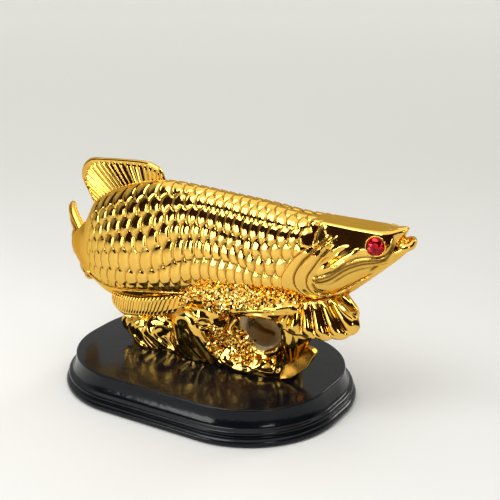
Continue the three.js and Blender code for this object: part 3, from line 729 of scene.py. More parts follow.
def grow(name, tree, names, base, values):
    """Runs a node tree on a base object and returns the result as a plain mesh object."""
    modifier = base.modifiers.new("grown", "NODES")
    modifier.node_group = tree
    for key, value in values.items():
        modifier[names[key]] = value
    bpy.context.view_layer.update()
    graph = bpy.context.evaluated_depsgraph_get()
    mesh = bpy.data.meshes.new_from_object(base.evaluated_get(graph))
    base.modifiers.remove(modifier)
    mesh.name = name
    return add_object(name, mesh)


grit = rock.data.attributes.new("grit", "FLOAT", "POINT")
rock_points = np.array([corner.co for corner in rock.data.vertices]) / MM
grit.data.foreach_set("value", grit_share(rock_points))
grain = grain_shape()
coral_tree, coral_inputs = grit_tree()
grit_gold = plated_gold("gold_plating_grit", tones=((0.95, 0.72, 0.24, 1), (0.88, 0.60, 0.15, 1)))
coral = grow("coral_grit", coral_tree, coral_inputs, rock, {
    "Grain": grain, "Spacing": 1.0 * MM, "Seed": 7, "Finish": grit_gold,
})
bpy.data.objects.remove(grain, do_unlink=True)
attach(coral, "root")


# Rock wedge
# A broken slab of rock at the foot of the column, cast with the rest, with flat faces and
# edges rounded by the plating.

# The slab's outline in side view, and how thick it is
wedge_outline = [
    (31.2, 11.9), (35, 12.4), (39.6, 16.4), (41.6, 21.2), (39.8, 22.4), (34.6, 22.6), (32, 17.4),
]
wedge_thickness = 2.8
wedge_unevenness = 0.12


def shape_piece(name, shape, smooth):
    """A mesh object made from an edited shape, whose places are in metres already."""
    mesh = bpy.data.meshes.new(name)
    shape.to_mesh(mesh)
    shape.free()
    mesh.polygons.foreach_set("use_smooth", [smooth] * len(mesh.polygons))
    return add_object(name, mesh)


def make_wedge():
    """The outline drawn through from front to back, its corners cut and its faces a little uneven."""
    shape = bmesh.new()
    faces_at = [-5.2 + 0.1 * (x - 31) + 0.5 * (z - 12) for x, z in wedge_outline]
    front, back = (
        [shape.verts.new((x * MM, (y + depth) * MM, z * MM)) for (x, z), y in zip(wedge_outline, faces_at)]
        for depth in (0, wedge_thickness)
    )
    shape.faces.new(front)
    shape.faces.new(back[::-1])
    for i in range(len(front)):
        after = (i + 1) % len(front)
        shape.faces.new((front[i], back[i], back[after], front[after]))
    bmesh.ops.recalc_face_normals(shape, faces=shape.faces)
    bmesh.ops.bevel(shape, geom=shape.edges[:], offset=0.5 * MM, segments=3, profile=0.6, affect="EDGES")
    long_edges = [edge for edge in shape.edges if edge.calc_length() > 2 * MM]
    bmesh.ops.subdivide_edges(shape, edges=long_edges, cuts=3, use_grid_fill=True)
    bmesh.ops.triangulate(shape, faces=[face for face in shape.faces if len(face.verts) > 4])
    for corner in shape.verts:
        x, y, z = corner.co / MM
        corner.co.x += wedge_unevenness * MM * math.sin(1.7 * y + 0.9 * z)
        corner.co.z += wedge_unevenness * MM * math.sin(1.3 * x + 1.1 * y)
    return shape_piece("rock_wedge_slab", shape, smooth=True)


wedge = make_wedge()
wedge_tones = ((0.6, 0.34, 0.06, 1), (0.38, 0.18, 0.02, 1))
wedge_gold = plated_gold("gold_plating_wedge", tones=wedge_tones, soft=0.16)
wedge.data.materials.append(wedge_gold)
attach(wedge, "root")
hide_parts("rock_wedge")


# Fish body
# Head, trunk, tail stalk, lower jaw and gill covers are one casting with the rock, under the same
# plating. The head's folds and plates are chased into its two sides, and the trunk is sunk under
# its scales.

# Place along the body from the tail, then the height or the width there
back_line = [
    (-60, 46), (-56, 49), (-52.6, 52.4), (-48.3, 60), (-43.2, 63.2), (-39, 65.6), (-33.4, 68), (-28, 70),
    (-22, 71.6), (-16.5, 72.7), (-3, 72.6), (11, 72), (24.5, 71.3), (33, 70.4), (40, 69.7), (48, 69.5),
    (60, 69.6), (68, 70.2), (71.4, 70.9), (76, 71.2),
]
belly_line = [
    (-60, 36), (-56, 33.6), (-52.6, 31.2), (-50, 30), (-46, 27.6), (-41, 25.8), (-32, 25.8), (-20, 27.8),
    (-10, 31), (0, 34), (10, 35.4), (22, 36.4), (34, 37.6), (42, 39.6), (50.3, 43), (59.3, 50.2),
    (67.1, 57.3), (72, 62.2), (76, 67),
]
half_widths = [
    (-60, 1.6), (-56, 2.4), (-52, 3.6), (-46, 5.6), (-38, 7.3), (-28, 8.6), (-14, 9.5), (0, 10), (20, 10.1),
    (34, 9.9), (44, 9.6), (52, 8.8), (60, 7.7), (66, 6.9), (68.6, 5), (70, 3.6), (71.5, 2.2), (73, 1.1),
    (76, 0.7),
]
# Share of the height at which the body is widest, and how square its two halves are: 2 is an ellipse
widest_share = [
    (-60, 0.5), (-50, 0.36), (-10, 0.3), (20, 0.32), (36, 0.4), (44, 0.47), (60, 0.5), (76, 0.5),
]
upper_fullness = [(-60, 2), (-30, 2), (0, 2), (24, 2.1), (36, 2.6), (44, 3.4), (76, 3.6)]
lower_fullness = [(-60, 1.8), (-40, 1.9), (-10, 2), (20, 2), (40, 1.9), (60, 1.7), (76, 1.8)]
# The head's flat top: its half width, and the height at which its sides start to slope in
shoulder_widths = [
    (42, 4.7), (47, 4.6), (52, 4.8), (60, 4.9), (66, 4.5), (69.2, 3.5), (71, 2.3), (73, 1), (76, 0.6),
]
cheek_line = [
    (42, 60), (48, 59.5), (51, 60), (54, 61.4), (58, 63), (61.4, 64), (66, 64.6), (70, 66), (76, 69),
]
# How far the flat top falls from its middle to its edge
roof_fall = [(42, 0.2), (62, 0.3), (68, 0.8), (76, 0.9)]
# Height of the edge where the scaled flank stands out over the smooth belly
coat_edge = [(-60, 36), (-54, 33.6), (-46, 31), (-40, 30.6), (-33, 31.2), (-20, 33.4), (-10, 34.8),
             (-3, 35.6), (10, 35.8), (40, 38)]
# Where the tail starts to curl away, and the radius of the curl
curl_start = -50
curl_radius = 20


def along_spine(x, y):
    """The place along the body, and the distance out to its right. The tail curls away to the left."""
    curled = x < curl_start
    angle = np.arctan2(curl_start - x, curl_radius - y)
    place = np.where(curled, curl_start - curl_radius * angle, x)
    out = np.where(curled, np.hypot(x - curl_start, y - curl_radius) - curl_radius, -y)
    return place, out


def from_spine(place, out, z):
    """The point at a place along the body, so far out to its right, at a height."""
    angle = np.maximum(curl_start - place, 0) / curl_radius
    x = np.where(place < curl_start, curl_start - (curl_radius + out) * np.sin(angle), place)
    y = curl_radius * (1 - np.cos(angle)) - out * np.cos(angle)
    return np.stack(np.broadcast_arrays(x, y, z), -1)


def body_distance(x, y, z):
    """How far places are from the fish's outside, with its flat-topped head eased into the round trunk."""
    place, out = along_spine(x, y)
    top, bottom, half = (curve(line, place) for line in (back_line, belly_line, half_widths))
    middle = bottom + (top - bottom) * curve(widest_share, place)
    upper = z > middle
    rise = (z - middle) / np.where(upper, top - middle, middle - bottom)
    fullness = np.where(upper, curve(upper_fullness, place), curve(lower_fullness, place))
    reach = (np.abs(rise) ** fullness + np.abs(out / half) ** fullness) ** (1 / fullness)
    trunk = (reach - 1) * half
    cheek, shoulder = curve(cheek_line, place), curve(shoulder_widths, place)
    slope = np.clip((z - cheek) / (top - cheek), 0, 1.3)
    wall = (np.abs(out) - half + (half - shoulder) * slope) * 0.93
    roof = z - top + curve(roof_fall, place) * (out / shoulder) ** 2
    corner = 0.6
    near = np.maximum(corner - np.abs(wall - roof), 0) / corner
    head = np.where(upper, np.maximum(wall, roof) + near * near * corner / 4, trunk)
    return trunk + (head - trunk) * ease((place - 37) / 9)


class Chasing:
    """Relief worked into both sides of the fish and drawn in side view: how far each place stands out, and
    the painted shade along its narrow grooves.
    """

    def __init__(self, x, z):
        self.x, self.z = np.meshgrid(x, z, indexing="ij")
        self.height = np.zeros_like(self.x)
        # How dark the painted shade along narrow grooves is at each place.
        self.lines = np.zeros_like(self.x)

    def trail(self, points):
        """Distance to a line, -1 or 1 for the side of it, and the share of its length that is nearest."""
        line = smooth_line(points, 0.6)
        gap = np.full(self.x.shape, 1e9)
        side = np.zeros_like(gap)
        share = np.zeros_like(gap)
        for i, (a, b) in enumerate(zip(line[:-1], line[1:])):
            step = b - a
            x, z = self.x - a[0], self.z - a[1]
            t = np.clip((x * step[0] + z * step[1]) / (step @ step), 0, 1)
            here = np.hypot(x - t * step[0], z - t * step[1])
            closer = here < gap
            gap = np.where(closer, here, gap)
            side = np.where(closer, step[0] * z - step[1] * x, side)
            share = np.where(closer, (i + t) / (len(line) - 1), share)
        return gap, np.sign(side), share

    def bead(self, height, width, points, taper=0.12):
        """Raises a rounded bead along a line, or cuts a groove where height is below 0. Narrow grooves
        also get painted shade along them, kept as dark lines."""
        gap, _, share = self.trail(points)
        ends = ease(np.minimum(share, 1 - share) / taper + 0.2)
        self.height += height * np.clip(1 - (gap / width) ** 2, 0, 1) * ends
        # Painted shade: narrow grooves are also painted dark along their middle.
        if height < 0 and width < 1:
            self.lines = np.maximum(self.lines, ease((0.75 - gap / width) / 0.4) * ends)

    def shelf(self, height, fade, points):
        """Raises what lies to the left of a line's travel, with an edge on the line, and fades from it."""
        edge_width = 0.5
        taper = 0.1
        gap, side, share = self.trail(points)
        ends = ease(np.minimum(share, 1 - share) / taper + 0.1)
        self.height += height * ease(gap * side / edge_width + 0.5) * np.exp(-(gap / fade) ** 2) * ends


# Lines of the head in side view, from the top down
nape_curl = [
    (43.4, 70.4), (45.3, 69.4), (45.6, 68.2), (44.6, 66.4), (44.1, 64.6), (44.7, 62.6), (46.6, 61.6),
]
rear_gill = [(44.4, 64.6), (43.5, 62.2), (40.9, 60), (38.5, 57.6), (36.5, 54.9), (35, 52.2), (34.1, 49.9),
             (34.2, 46.4), (36, 42.8), (39.4, 39.6), (43, 37)]
front_gill = [(50.8, 66.2), (48, 63.7), (45.4, 60.4), (42.5, 57.3), (40.5, 54.3), (39.4, 51.7),
              (39.2, 49.1), (40, 47), (41.9, 44.9), (44.4, 43.6), (47.7, 43.2)]
gill_folds = [
    [(49.7, 65.9), (48.9, 63.5), (47.1, 61.6), (45, 59.1), (43.1, 56.8), (41, 54.4)],
    [(52.1, 66.4), (50.5, 64.2), (48.1, 62), (46.1, 59.1), (43.6, 56.2), (41.7, 53.4)],
]
cheek_hoop = [(51.6, 63.8), (50.4, 62), (49, 60), (47.4, 57.6), (45.8, 55), (44.4, 52.6), (43.9, 50.2),
              (44.2, 48), (45.7, 46.2), (48.1, 45.4), (50.6, 46)]
lip_top = [(70.6, 70), (70.1, 68.4), (69.7, 66.1), (69, 64.1), (67.8, 62.6), (65.6, 62.0), (62.1, 61.5),
           (59, 60.6), (56.1, 58.7), (54.2, 57.1), (51.8, 55.2), (49.6, 54), (47.3, 53.1), (45.6, 52.7)]
lip_middle = [(71, 69.4), (70.6, 67.2), (69.9, 65), (69.3, 63.6), (67.9, 61.4), (65.5, 60.9), (62.1, 60.3),
              (59.1, 59.1), (56.2, 57.7), (53.8, 55.9), (51.2, 53.8), (48.7, 52.4), (46.4, 51.6)]
lip_low = [(68.4, 61.0), (65.4, 60.0), (62.1, 59.3), (59, 58.1), (56.1, 56.5), (53.7, 54.6), (51.2, 52.6),
           (48.7, 51.2), (46.6, 50.6), (45.4, 51)]
wedge_valley = [(47.6, 56.2), (49.6, 57.8), (51.8, 59.8), (54, 61.8), (56.6, 63.2)]
jaw_rim = [(71.1, 61.9), (68.1, 58.9), (64, 55), (61.7, 53.4), (59.9, 52.2), (57.1, 50), (54.6, 48),
           (52.5, 46.6), (50.6, 45.6)]
# Outline of the space between the jaws and before the snout
mouth_gap = [
    (90, 84), (73.6, 84), (73, 70.6), (71.3, 67.8), (70.3, 66), (69.6, 63.8), (70.2, 62.9), (71, 64.8),
    (71.5, 66), (72.6, 67), (90, 67),
]
# How far out from the middle the chasing starts, at each height
side_start = [(56, 1.2), (64, 2), (68, 3.6), (70, 5.6), (72, 5.6)]


def outline_distance(outline, x, z):
    """How far places are outside a closed outline in side view, below 0 inside it."""
    gap = np.full(np.broadcast_shapes(x.shape, z.shape), 1e9)
    crossings = np.zeros(gap.shape, int)
    for a, b in zip(outline, outline[1:] + outline[:1]):
        step = np.subtract(b, a)
        t = np.clip(((x - a[0]) * step[0] + (z - a[1]) * step[1]) / (step @ step), 0, 1)
        gap = np.minimum(gap, np.hypot(x - a[0] - t * step[0], z - a[1] - t * step[1]))
        between = (z < a[1]) != (z < b[1])
        crossings += between & (x < a[0] + (z - a[1]) * step[0] / (step[1] + 1e-12))
    return np.where(crossings % 2 == 1, -gap, gap)


def chase_head(chased):
    """Raises and cuts the head's gill covers, folds and lips."""
    chased.shelf(-0.75, 9, rear_gill[::-1])
    chased.shelf(-0.45, 5, front_gill[::-1])
    for fold in gill_folds:
        chased.bead(0.3, 0.55, fold)
    chased.bead(0.3, 0.6, front_gill)
    chased.bead(-0.3, 0.5, [(x - 0.75, z) for x, z in front_gill])
    chased.bead(0.4, 0.6, nape_curl)
    chased.bead(-0.3, 0.45, [(x + 0.85, z) for x, z in nape_curl[2:-1]])
    chased.bead(0.5, 0.7, cheek_hoop)
    chased.bead(-0.35, 0.5, [(x - 0.95, z - 0.25) for x, z in cheek_hoop])
    chased.bead(-0.35, 0.5, [(44.9, 50), (45.3, 48.4), (46.3, 47.1), (48, 46.3), (50, 46.8)])
    chased.bead(-0.9, 1.4, wedge_valley, taper=0.5)
    chased.bead(0.55, 1.9, [(61, 62.9), (58.4, 61.4), (54.8, 58.9), (51.6, 56.6), (48.4, 55)], taper=0.3)
    chased.bead(0.65, 1.9, lip_middle, taper=0.03)
    chased.bead(0.3, 1.2, [(48.4, 52.8), (46.8, 52), (45.2, 51.6)], taper=0.3)
    for line, depth in ((lip_top, 0.46), (lip_middle, 0.42), (lip_low, 0.38)):
        chased.bead(-depth, 0.6, line, taper=0.04)
    chased.bead(-0.2, 0.35, [(x + 0.3, z - 1.5) for x, z in lip_low[1:8]], taper=0.4)
    chased.bead(0.45, 0.65, jaw_rim)
    chased.bead(-0.25, 0.4, [(x - 0.55, z + 0.6) for x, z in jaw_rim[2:-1]], taper=0.3)
    chased.bead(-0.45, 0.6, [(65.4, 58.6), (64, 57.6), (62.8, 56.3)], taper=0.4)


def shape_head_top(clay):
    """A crease and two nostril dents on each side of the middle of the flat top."""
    for side in (-1, 1):
        crease = smooth_line([
            (51, side * 1.2, 69.7, 0.3), (55, side * 1.7, 69.75, 0.4), (61, side * 1.5, 69.8, 0.4),
            (66, side * 0.9, 70.2, 0.3),
        ])
        clay.carve(*clay.rope(crease), 0.3)
        for x, out, z, radius in ((67.4, 2.2, 70.2, 0.4), (70.2, 1.7, 70.6, 0.4)):
            dent = np.array([(x, side * out, z, radius), (x + 0.6, side * out, z, radius)])
            clay.carve(*clay.rope(dent), 0.3)


def shape_mouth(clay):
    """Opens the mouth. The lower jaw ends in a thick rounded rim around a scooped tip."""
    clay.carve(clay.whole, outline_distance(mouth_gap, clay.x, clay.z) + 0 * clay.y, 0.3)
    clay.join(*clay.egg((72.2, 0, 65), (2.6, 3, 1.7), (67, -6, 60), (77, 6, 70)), 0.8)
    rim = smooth_line([
        (70.2, 3.3, 65.0, 0.7), (72.2, 2.9, 66.3, 0.85), (73.8, 1.8, 66.4, 1.05), (74.2, 0.2, 65.9, 1.1),
        (73.7, -1.3, 65.3, 1.05), (72.1, -2.6, 64.3, 0.85), (70.6, -3.1, 63.2, 0.7),
    ])
    clay.join(*clay.rope(rim), 0.8)
    clay.carve(*clay.egg((72.4, 0, 67), (1.5, 1.8, 1.7), (69, -4, 62), (78, 4, 67.4)), 0.4)
    # The jaw's foremost tip is blunt.
    part, x, y, z = clay.box((74, -4, 60), (78, 4, 76))
    clay.carve(part, 75.3 - x + 0.12 * y * y + 0 * z, 0.5)


def model_fish():
    """The fish in clay, in cells that are finer from the gills forward, and the relief of its sides."""
    coarse = 0.8
    fine = 0.27
    x = np.concatenate([np.arange(-62, 34, coarse), np.arange(34, 78, fine)])
    y = np.concatenate([np.arange(-12, -4, 0.3), np.arange(-4, 4, 0.4), np.arange(4, 12.1, 0.3)])
    z = np.concatenate([np.arange(25.6, 42, 0.5), np.arange(42, 76, fine)])
    clay = Clay(x, y, z)
    clay.field = body_distance(clay.x, clay.y, clay.z)
    clay.even()
    chased = Chasing(x, z)
    chase_head(chased)
    gap, side, _ = chased.trail([(46, 80)] + rear_gill + [(46, 30)])
    under_scales = ease(-gap * side / 0.6 + 0.5) * ease((chased.z - curve(coat_edge, chased.x)) / 0.8)
    lift = -1.1 * under_scales * ease((chased.x + 54.5) / 5)
    on_side = ease((np.abs(clay.y) - curve(side_start, clay.z)) / 2)
    clay.field -= (chased.height[:, None, :] * on_side) + lift[:, None, :]
    shape_head_top(clay)
    shape_mouth(clay)
    return clay, chased


def groove_shade_lines(points):
    """How dark the painted shade in the grooves chased into the head's sides is, at points in millimetres.
    """
    x, y, z = points.T
    axes = (head_chasing.x[:, 0], head_chasing.z[0])
    index = [np.interp(at, axis, np.arange(len(axis))) for at, axis in zip((x, z), axes)]
    low = [np.minimum(np.floor(at).astype(int), len(axis) - 2) for at, axis in zip(index, axes)]
    i, k = low
    p, q = (at - start for at, start in zip(index, low))
    lines = head_chasing.lines
    near = lines[i, k] * (1 - q) + lines[i, k + 1] * q
    far = lines[i + 1, k] * (1 - q) + lines[i + 1, k + 1] * q
    return (near * (1 - p) + far * p) * ease((np.abs(y) - curve(side_start, z)) / 2)


fish_clay, head_chasing = model_fish()
fish = mesh_piece("fish_body", *fish_clay.skin())
fish.data.materials.append(gold)
mark_recesses(fish, 1.6, 4, groove_shade_lines)
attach(fish, "root")
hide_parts("trunk", "tail_stalk", "head", "lower_jaw", "gill_cover_right", "gill_cover_left")


# Scales
# Seven rows of broad domed scales on each flank, each lapping over the one behind it. They were
# pressed into the clay from the gills back, and fade out on the tail stalk.

# For each row: where its first scale stands, then the row's distance from the middle of the back
scale_rows = [
    (41.4, [(-51.5, 5), (-44.5, 5), (-37, 5.4), (-27, 5.1), (-19, 5.2), (-15, 4), (-11.5, 2.6), (-6, 2),
            (10.5, 1.9), (42, 2.8)]),
    (43.4, [(-51.5, 9), (-44.5, 9.2), (-37, 9.8), (-29, 10.3), (-21, 10.2), (-15, 9.8), (-10.5, 8.4),
            (-6.5, 7.3), (-2.5, 6.3), (2.5, 5.7), (28.5, 6.3), (44.5, 5.4)]),
    (41.5, [(-52, 12.2), (-44.5, 13.8), (-37.5, 14.8), (-29, 16.2), (-22, 16.6), (-16, 15.8), (-11, 13.5),
            (-7, 12.4), (-2, 11.6), (6, 10.8), (30.5, 11.9), (42, 10.4)]),
    (39.6, [(-52.5, 15.3), (-45, 18.4), (-38, 20.5), (-29.5, 21.6), (-23.5, 22.5), (-18.5, 22),
            (-14.5, 20.5), (-9.5, 18.4), (-4, 16.8), (3, 16.3), (27.5, 17.3), (40, 15.2)]),
    (37.4, [(-52.5, 19.5), (-45.5, 23.4), (-38.5, 25.9), (-30.5, 28.1), (-24.5, 29.4), (-17.5, 29.2),
            (-12.5, 27.4), (-8, 24.6), (-3, 22.9), (5.5, 21.2), (16.5, 20.8), (25, 22.6), (38, 21.6)]),
    (36.2, [(-52.5, 23), (-46, 28.7), (-39.5, 32.3), (-31.5, 34.5), (-22.5, 35.8), (-16.5, 35.2),
            (-9, 32.9), (-2, 30.2), (7.5, 28), (19.5, 27.7), (37, 26.4)]),
    (35.6, [(-46.5, 32.3), (-39.5, 37.1), (-32, 39.6), (-18, 40), (-9.5, 38.6), (-1.5, 37.1), (9, 34.3),
            (36, 33)]),
]
# How far apart the scales of a row stand, and how far they are raised, at places along the body
scale_pitch = [
    (-52, 2.8), (-46, 3.2), (-40, 3.8), (-34, 4.5), (-28, 5.1), (-14, 5), (-6, 4.5), (0, 4.2), (5, 3.7),
    (10, 3.4), (27, 3.3), (32, 3.8), (43, 4),
]
scale_fade = [(-52, 0.25), (-47, 0.45), (-42, 0.85), (-38, 1), (45, 1)]
last_scale = -50.5
# Where the sheet of scales starts and ends along the body, and how finely it is divided
coat_start = -55.5
coat_end = 46.8
coat_step = 0.23
coat_columns = 215
# Size of the square that the sheet is laid out on for its texture, in millimetres
map_size = 150.0


def bed_points(places, depths):
    """The fish's outside without scales, at depths along the surface from the middle of the back."""
    directions = 241
    halvings = 15
    widest = 30.0
    angles = np.linspace(-math.pi, math.pi, directions)
    place, angle = np.meshgrid(places, angles, indexing="ij")
    centre = curve(back_line, place) * 0.45 + curve(belly_line, place) * 0.55
    near = np.zeros(place.shape)
    far = np.full(place.shape, widest)
    for _ in range(halvings):
        reach = (near + far) / 2
        points = from_spine(place, -reach * np.sin(angle), centre + reach * np.cos(angle))
        inside = body_distance(points[..., 0], points[..., 1], points[..., 2]) < 0
        near = np.where(inside, reach, near)
        far = np.where(inside, far, reach)
    steps = np.linalg.norm(np.diff(points, axis=1), axis=2)
    arcs = np.concatenate([np.zeros((len(places), 1)), np.cumsum(steps, axis=1)], axis=1)
    middle = directions // 2
    arcs -= arcs[:, [middle]]
    # The coat ends where the flank reaches the height of its edge.
    wanted = curve(coat_edge, places)
    limits = [np.interp(-h, -ring[middle:, 2], arc[middle:]) for h, ring, arc in zip(wanted, points, arcs)]
    v = np.array(limits)[:, None] * depths
    rings = [[np.interp(at, arc, column) for column in ring.T] for at, arc, ring in zip(v, arcs, points)]
    return np.array(rings).transpose(0, 2, 1), v


def scale_relief(places, v):
    """How far the scales stand out at each place. They are laid from the tail on, one over the other."""
    height = np.zeros(v.shape)
    draw = np.random.default_rng(4)
    laid = []
    last_row = len(scale_rows) - 1
    # Rows lean up, so that each stands out over the row under it: the middle ones at the rear, and the
    # lower ones further forward.
    rear_leans = (0, 0.1, 0.4, 0.42, 0.12, 0.05, 0)
    front_leans = (0, 0, 0.08, 0.16, 0.36, 0.5, 0.45)
    for number, (first, track) in enumerate(scale_rows):
        above = scale_rows[max(number - 1, 0)][1]
        below = scale_rows[min(number + 1, last_row)][1]
        place = first
        while place > max(last_scale, track[0][0] + 4):
            gap = curve(below, place) - curve(above, place)
            gap = gap / 2 if 0 < number < last_row else gap
            pitch = curve(scale_pitch, place)
            forward = ease((place + 26) / 14)
            lean = rear_leans[number] + (front_leans[number] - rear_leans[number]) * forward
            for side in (-1, 1):
                laid.append((place, side, track, pitch, 0.72 * gap, lean))
            place -= pitch
    for place, side, track, pitch, half, lean in sorted(laid, key=lambda one: one[0]):
        span = slice(*np.searchsorted(places, (place - 0.8 * pitch, place + 1.5 * pitch)))
        at = places[span]
        across = (side * v[span] - curve(track, at)[:, None]) / half
        turn = np.arcsin(np.clip(0.94 * across, -0.94, 0.94))
        u = (at[:, None] - place) / pitch + 0.5 - 0.72 * (1 - np.cos(turn))
        within = ease((1 - np.abs(across)) / 0.22)
        u = np.minimum(u, 1.2)
        # A raised band runs round the free edge, and the field inside it is a shallow dome.
        band = 0.3 * ease(u / 0.16) - 0.1 * ease((u - 0.16) / 0.1)
        field = 0.2 * (2 * u - 1.3) ** 2 + 0.42 * (across + draw.uniform(-0.12, 0.12)) ** 2
        top = 0.5 + band - draw.uniform(0.36, 0.48) * u - field + lean * np.clip(across, -1, 1)
        top = top * curve(scale_fade, place)
        groove = 0.16 * np.exp(-((u + 0.08) / 0.07) ** 2) * within
        cover = ease((u + 0.05) / 0.09) * within
        height[span] = (height[span] - groove) * (1 - cover) + top * cover
    return height


def model_scales():
    """The scaled skin as one sheet over the trunk, closed underneath by faces inside the body."""
    places = np.arange(coat_start, coat_end, coat_step)
    points, v = bed_points(places, np.linspace(-1, 1, coat_columns))
    along, around = (np.gradient(points, axis=k) for k in (0, 1))
    normal = np.cross(along, around)
    normal /= np.linalg.norm(normal, axis=2)[..., None]
    edge = np.abs(v[:, :1]) - np.abs(v)
    height = scale_relief(places, v) - 0.42
    # The lower flank swells out over the belly, and the back swells up to the root of the back fin.
    place = places[:, None]
    swell = ease((place + 42) / 10) * ease((2 - place) / 10)
    height += 0.4 * swell * np.exp(-((edge - 4.5) / 3) ** 2)
    height += 0.8 * ease((place + 48) / 4) * ease((-15 - place) / 5) * np.exp(-(v / 2.4) ** 2)
    gill = curve([(z, x) for x, z in rear_gill[7::-1]] + [(80, 46.2)], points[..., 2])
    behind = gill + 0.5 * ease((4.5 - np.abs(v)) / 2) - points[..., 0]
    height -= 0.75 * np.exp(-(np.maximum(behind, 0) / 9) ** 2) * ease((np.abs(v) - 2) / 4)
    height += 0.5 * np.exp(-(np.maximum(behind, 0) / 6) ** 2) * ease((5 - np.abs(v)) / 3)
    # The front of the coat on the nape lies flush with the head's flat top.
    flush = ease((4 - behind) / 2.4) * ease((6.5 - np.abs(v)) / 2.5)
    height = height * (1 - flush) + np.clip(0.1 * behind - 0.1, -0.1, 0.07) * flush
    sunk = np.maximum(ease((0.9 - edge) / 0.9), ease(0.4 - behind / 0.7))
    sunk = np.maximum(sunk, ease((-53.5 - place) / 1.5))
    height = height * (1 - sunk) - 1.4 * sunk
    points = points + height[..., None] * normal
    rows, columns = v.shape
    index = np.arange(rows * columns).reshape(rows, columns)
    faces = [face[::-1] for face in ring_faces(rows, columns, closed=False)]
    faces += [(index[i, 0], index[i + 1, 0], index[i + 1, -1], index[i, -1]) for i in range(rows - 1)]
    faces += [index[0, ::-1].tolist(), index[-1].tolist()]
    made = mesh_piece("scale_coat", points.reshape(-1, 3), faces)
    spread = made.data.uv_layers.new(name="OFBake")
    uv = np.stack([(places[:, None] + 60 + 0 * v) / map_size, v / map_size + 0.5], -1).reshape(-1, 2)
    corners = np.array([loop.vertex_index for loop in made.data.loops])
    spread.data.foreach_set("uv", uv[corners].ravel())
    return made


scales = model_scales()
scales.data.materials.append(gold)
mark_recesses(scales, 0.35, 1.5)
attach(scales, "root")


# Fins
# Back fin, belly fin, tail fin and the two breast fins, thick castings with a rolled edge. Their
# rays are ridges on both faces, and each fin's root is sunk in the body.

def ray_ridges(share, count, sharpness=2.2):
    """Rounded ridges side by side over a share from 0 to 1: 0 in each groove and 1 on each crest."""
    return 1 - np.abs(2 * ((share * count) % 1) - 1) ** sharpness


def fin_mesh(name, middle, half):
    """A closed fin from its middle sheet of points and half its thickness at each."""
    along, across = np.gradient(middle, axis=0), np.gradient(middle, axis=1)
    normal = np.cross(along, across)
    normal /= np.linalg.norm(normal, axis=2, keepdims=True) + 1e-9
    rows, columns = half.shape
    front = (middle + normal * half[..., None]).reshape(-1, 3)
    back = (middle - normal * half[..., None]).reshape(-1, 3)
    faces = [face[::-1] for face in ring_faces(rows, columns, closed=False)]
    count = rows * columns
    faces += [[corner + count for corner in face[::-1]] for face in faces]
    index = np.arange(count).reshape(rows, columns)
    border = np.concatenate([index[:-1, 0], index[-1, :-1], index[:0:-1, -1], index[0, :0:-1]])
    for a, b in zip(border, np.roll(border, -1)):
        faces.append([int(b), int(a), int(a + count), int(b + count)])
    made = mesh_piece(name, np.concatenate([front, back]), faces)
    made.data.materials.append(gold)
    return made


def rolled(distance, radius):
    """Half the thickness of a round rim at a distance in from the fin's edge."""
    inside = np.clip(radius ** 2 - (distance - radius) ** 2, 0, None)
    return np.where(distance < 2 * radius, np.sqrt(inside), 0)


def close_in(count):
    """Shares from 0 to 1 that are spaced closer at both ends."""
    closeness = 2.5
    t = np.linspace(0, 1, count)
    return t - np.sin(2 * math.pi * t) / (2 * math.pi) * (1 - 1 / closeness)


def spread_points(pairs, share):
    """Points on a smooth line given as (share, coordinates...) rows."""
    columns = list(zip(*pairs))
    return np.stack([curve(list(zip(columns[0], column)), share) for column in columns[1:]], -1)


def edge_gap(middle):
    """How far each point of a fin is from its outer edge, measured along the fin."""
    steps = np.linalg.norm(np.diff(middle, axis=1), axis=2)
    inward = np.cumsum(steps[:, ::-1], axis=1)[:, ::-1]
    return np.concatenate([inward, np.zeros((len(middle), 1))], axis=1)


def cast_fin(name, root, tip, lean, thickness, rays, rim, samples, bow=0.0, ruffle=0.0, groove=2.2):
    """A fin between two lines of points. thickness is at the root and at the edge, and rays are how many
    and how high. rim gives the rolled edge's radius at each share, and bow swells the sheet outwards."""
    u = close_in(samples[0])
    v = 1 - (1 - np.linspace(0, 1, samples[1])) ** 1.5
    share, out = np.meshgrid(u, v, indexing="ij")
    start, end = spread_points(root, share), spread_points(tip, share)
    ridge = ray_ridges(share, rays[0], groove)
    end = end + (end - start) * (ruffle * ridge)[..., None]
    middle = start + (end - start) * out[..., None]
    middle = middle + np.array(lean) * (np.sin(math.pi * out * 0.5) ** 2 - out)[..., None]
    middle = middle + np.array(lean) * bow * np.sin(math.pi * out)[..., None]
    gap = edge_gap(middle)
    radius = curve(rim, share)
    body = thickness[0] + (thickness[1] - thickness[0]) * out
    grown = ease(out * 5) * ease((gap - radius) / 2)
    half = body + rays[1] * (ridge - 0.5) * grown
    half = np.where(gap < radius, np.minimum(half, rolled(gap, radius)), half)
    half = np.maximum(half, rolled(gap, radius))
    ends = np.minimum(share, 1 - share) * np.linalg.norm(end[0, 0] - end[-1, 0])
    half = half * np.sqrt(np.clip(1 - (1 - np.clip(ends / 1.2, 0, 1)) ** 2, 0, 1)) + 0.01
    return fin_mesh(name, middle, half)


# Share of the fin's length, then the place
back_fin_root = [(0, -46.5, 0, 58.4), (0.25, -39, 0, 62), (0.5, -32, 0, 65.2), (0.75, -24.6, 0, 67.9),
                 (1, -17.5, 0, 69.4)]
back_fin_edge = [(0, -48, 0, 59.5), (0.1, -50.8, 0, 64.4), (0.2, -53, 0, 69), (0.28, -52, 0, 73),
                 (0.36, -48.8, 0, 75.8), (0.5, -42, 0, 76.7), (0.65, -33, 0, 77.5), (0.8, -24.5, 0, 77.9),
                 (0.9, -20, 0, 76.9), (0.96, -18.2, 0, 75.2), (1, -16.6, 0, 72)]
back_fin = cast_fin("back_fin", back_fin_root, back_fin_edge, (0, 0, 0), (0.75, 0.5), (21, 1.05),
                    [(0, 1.2), (0.3, 1.2), (0.5, 0.85), (1, 0.85)], (210, 44))

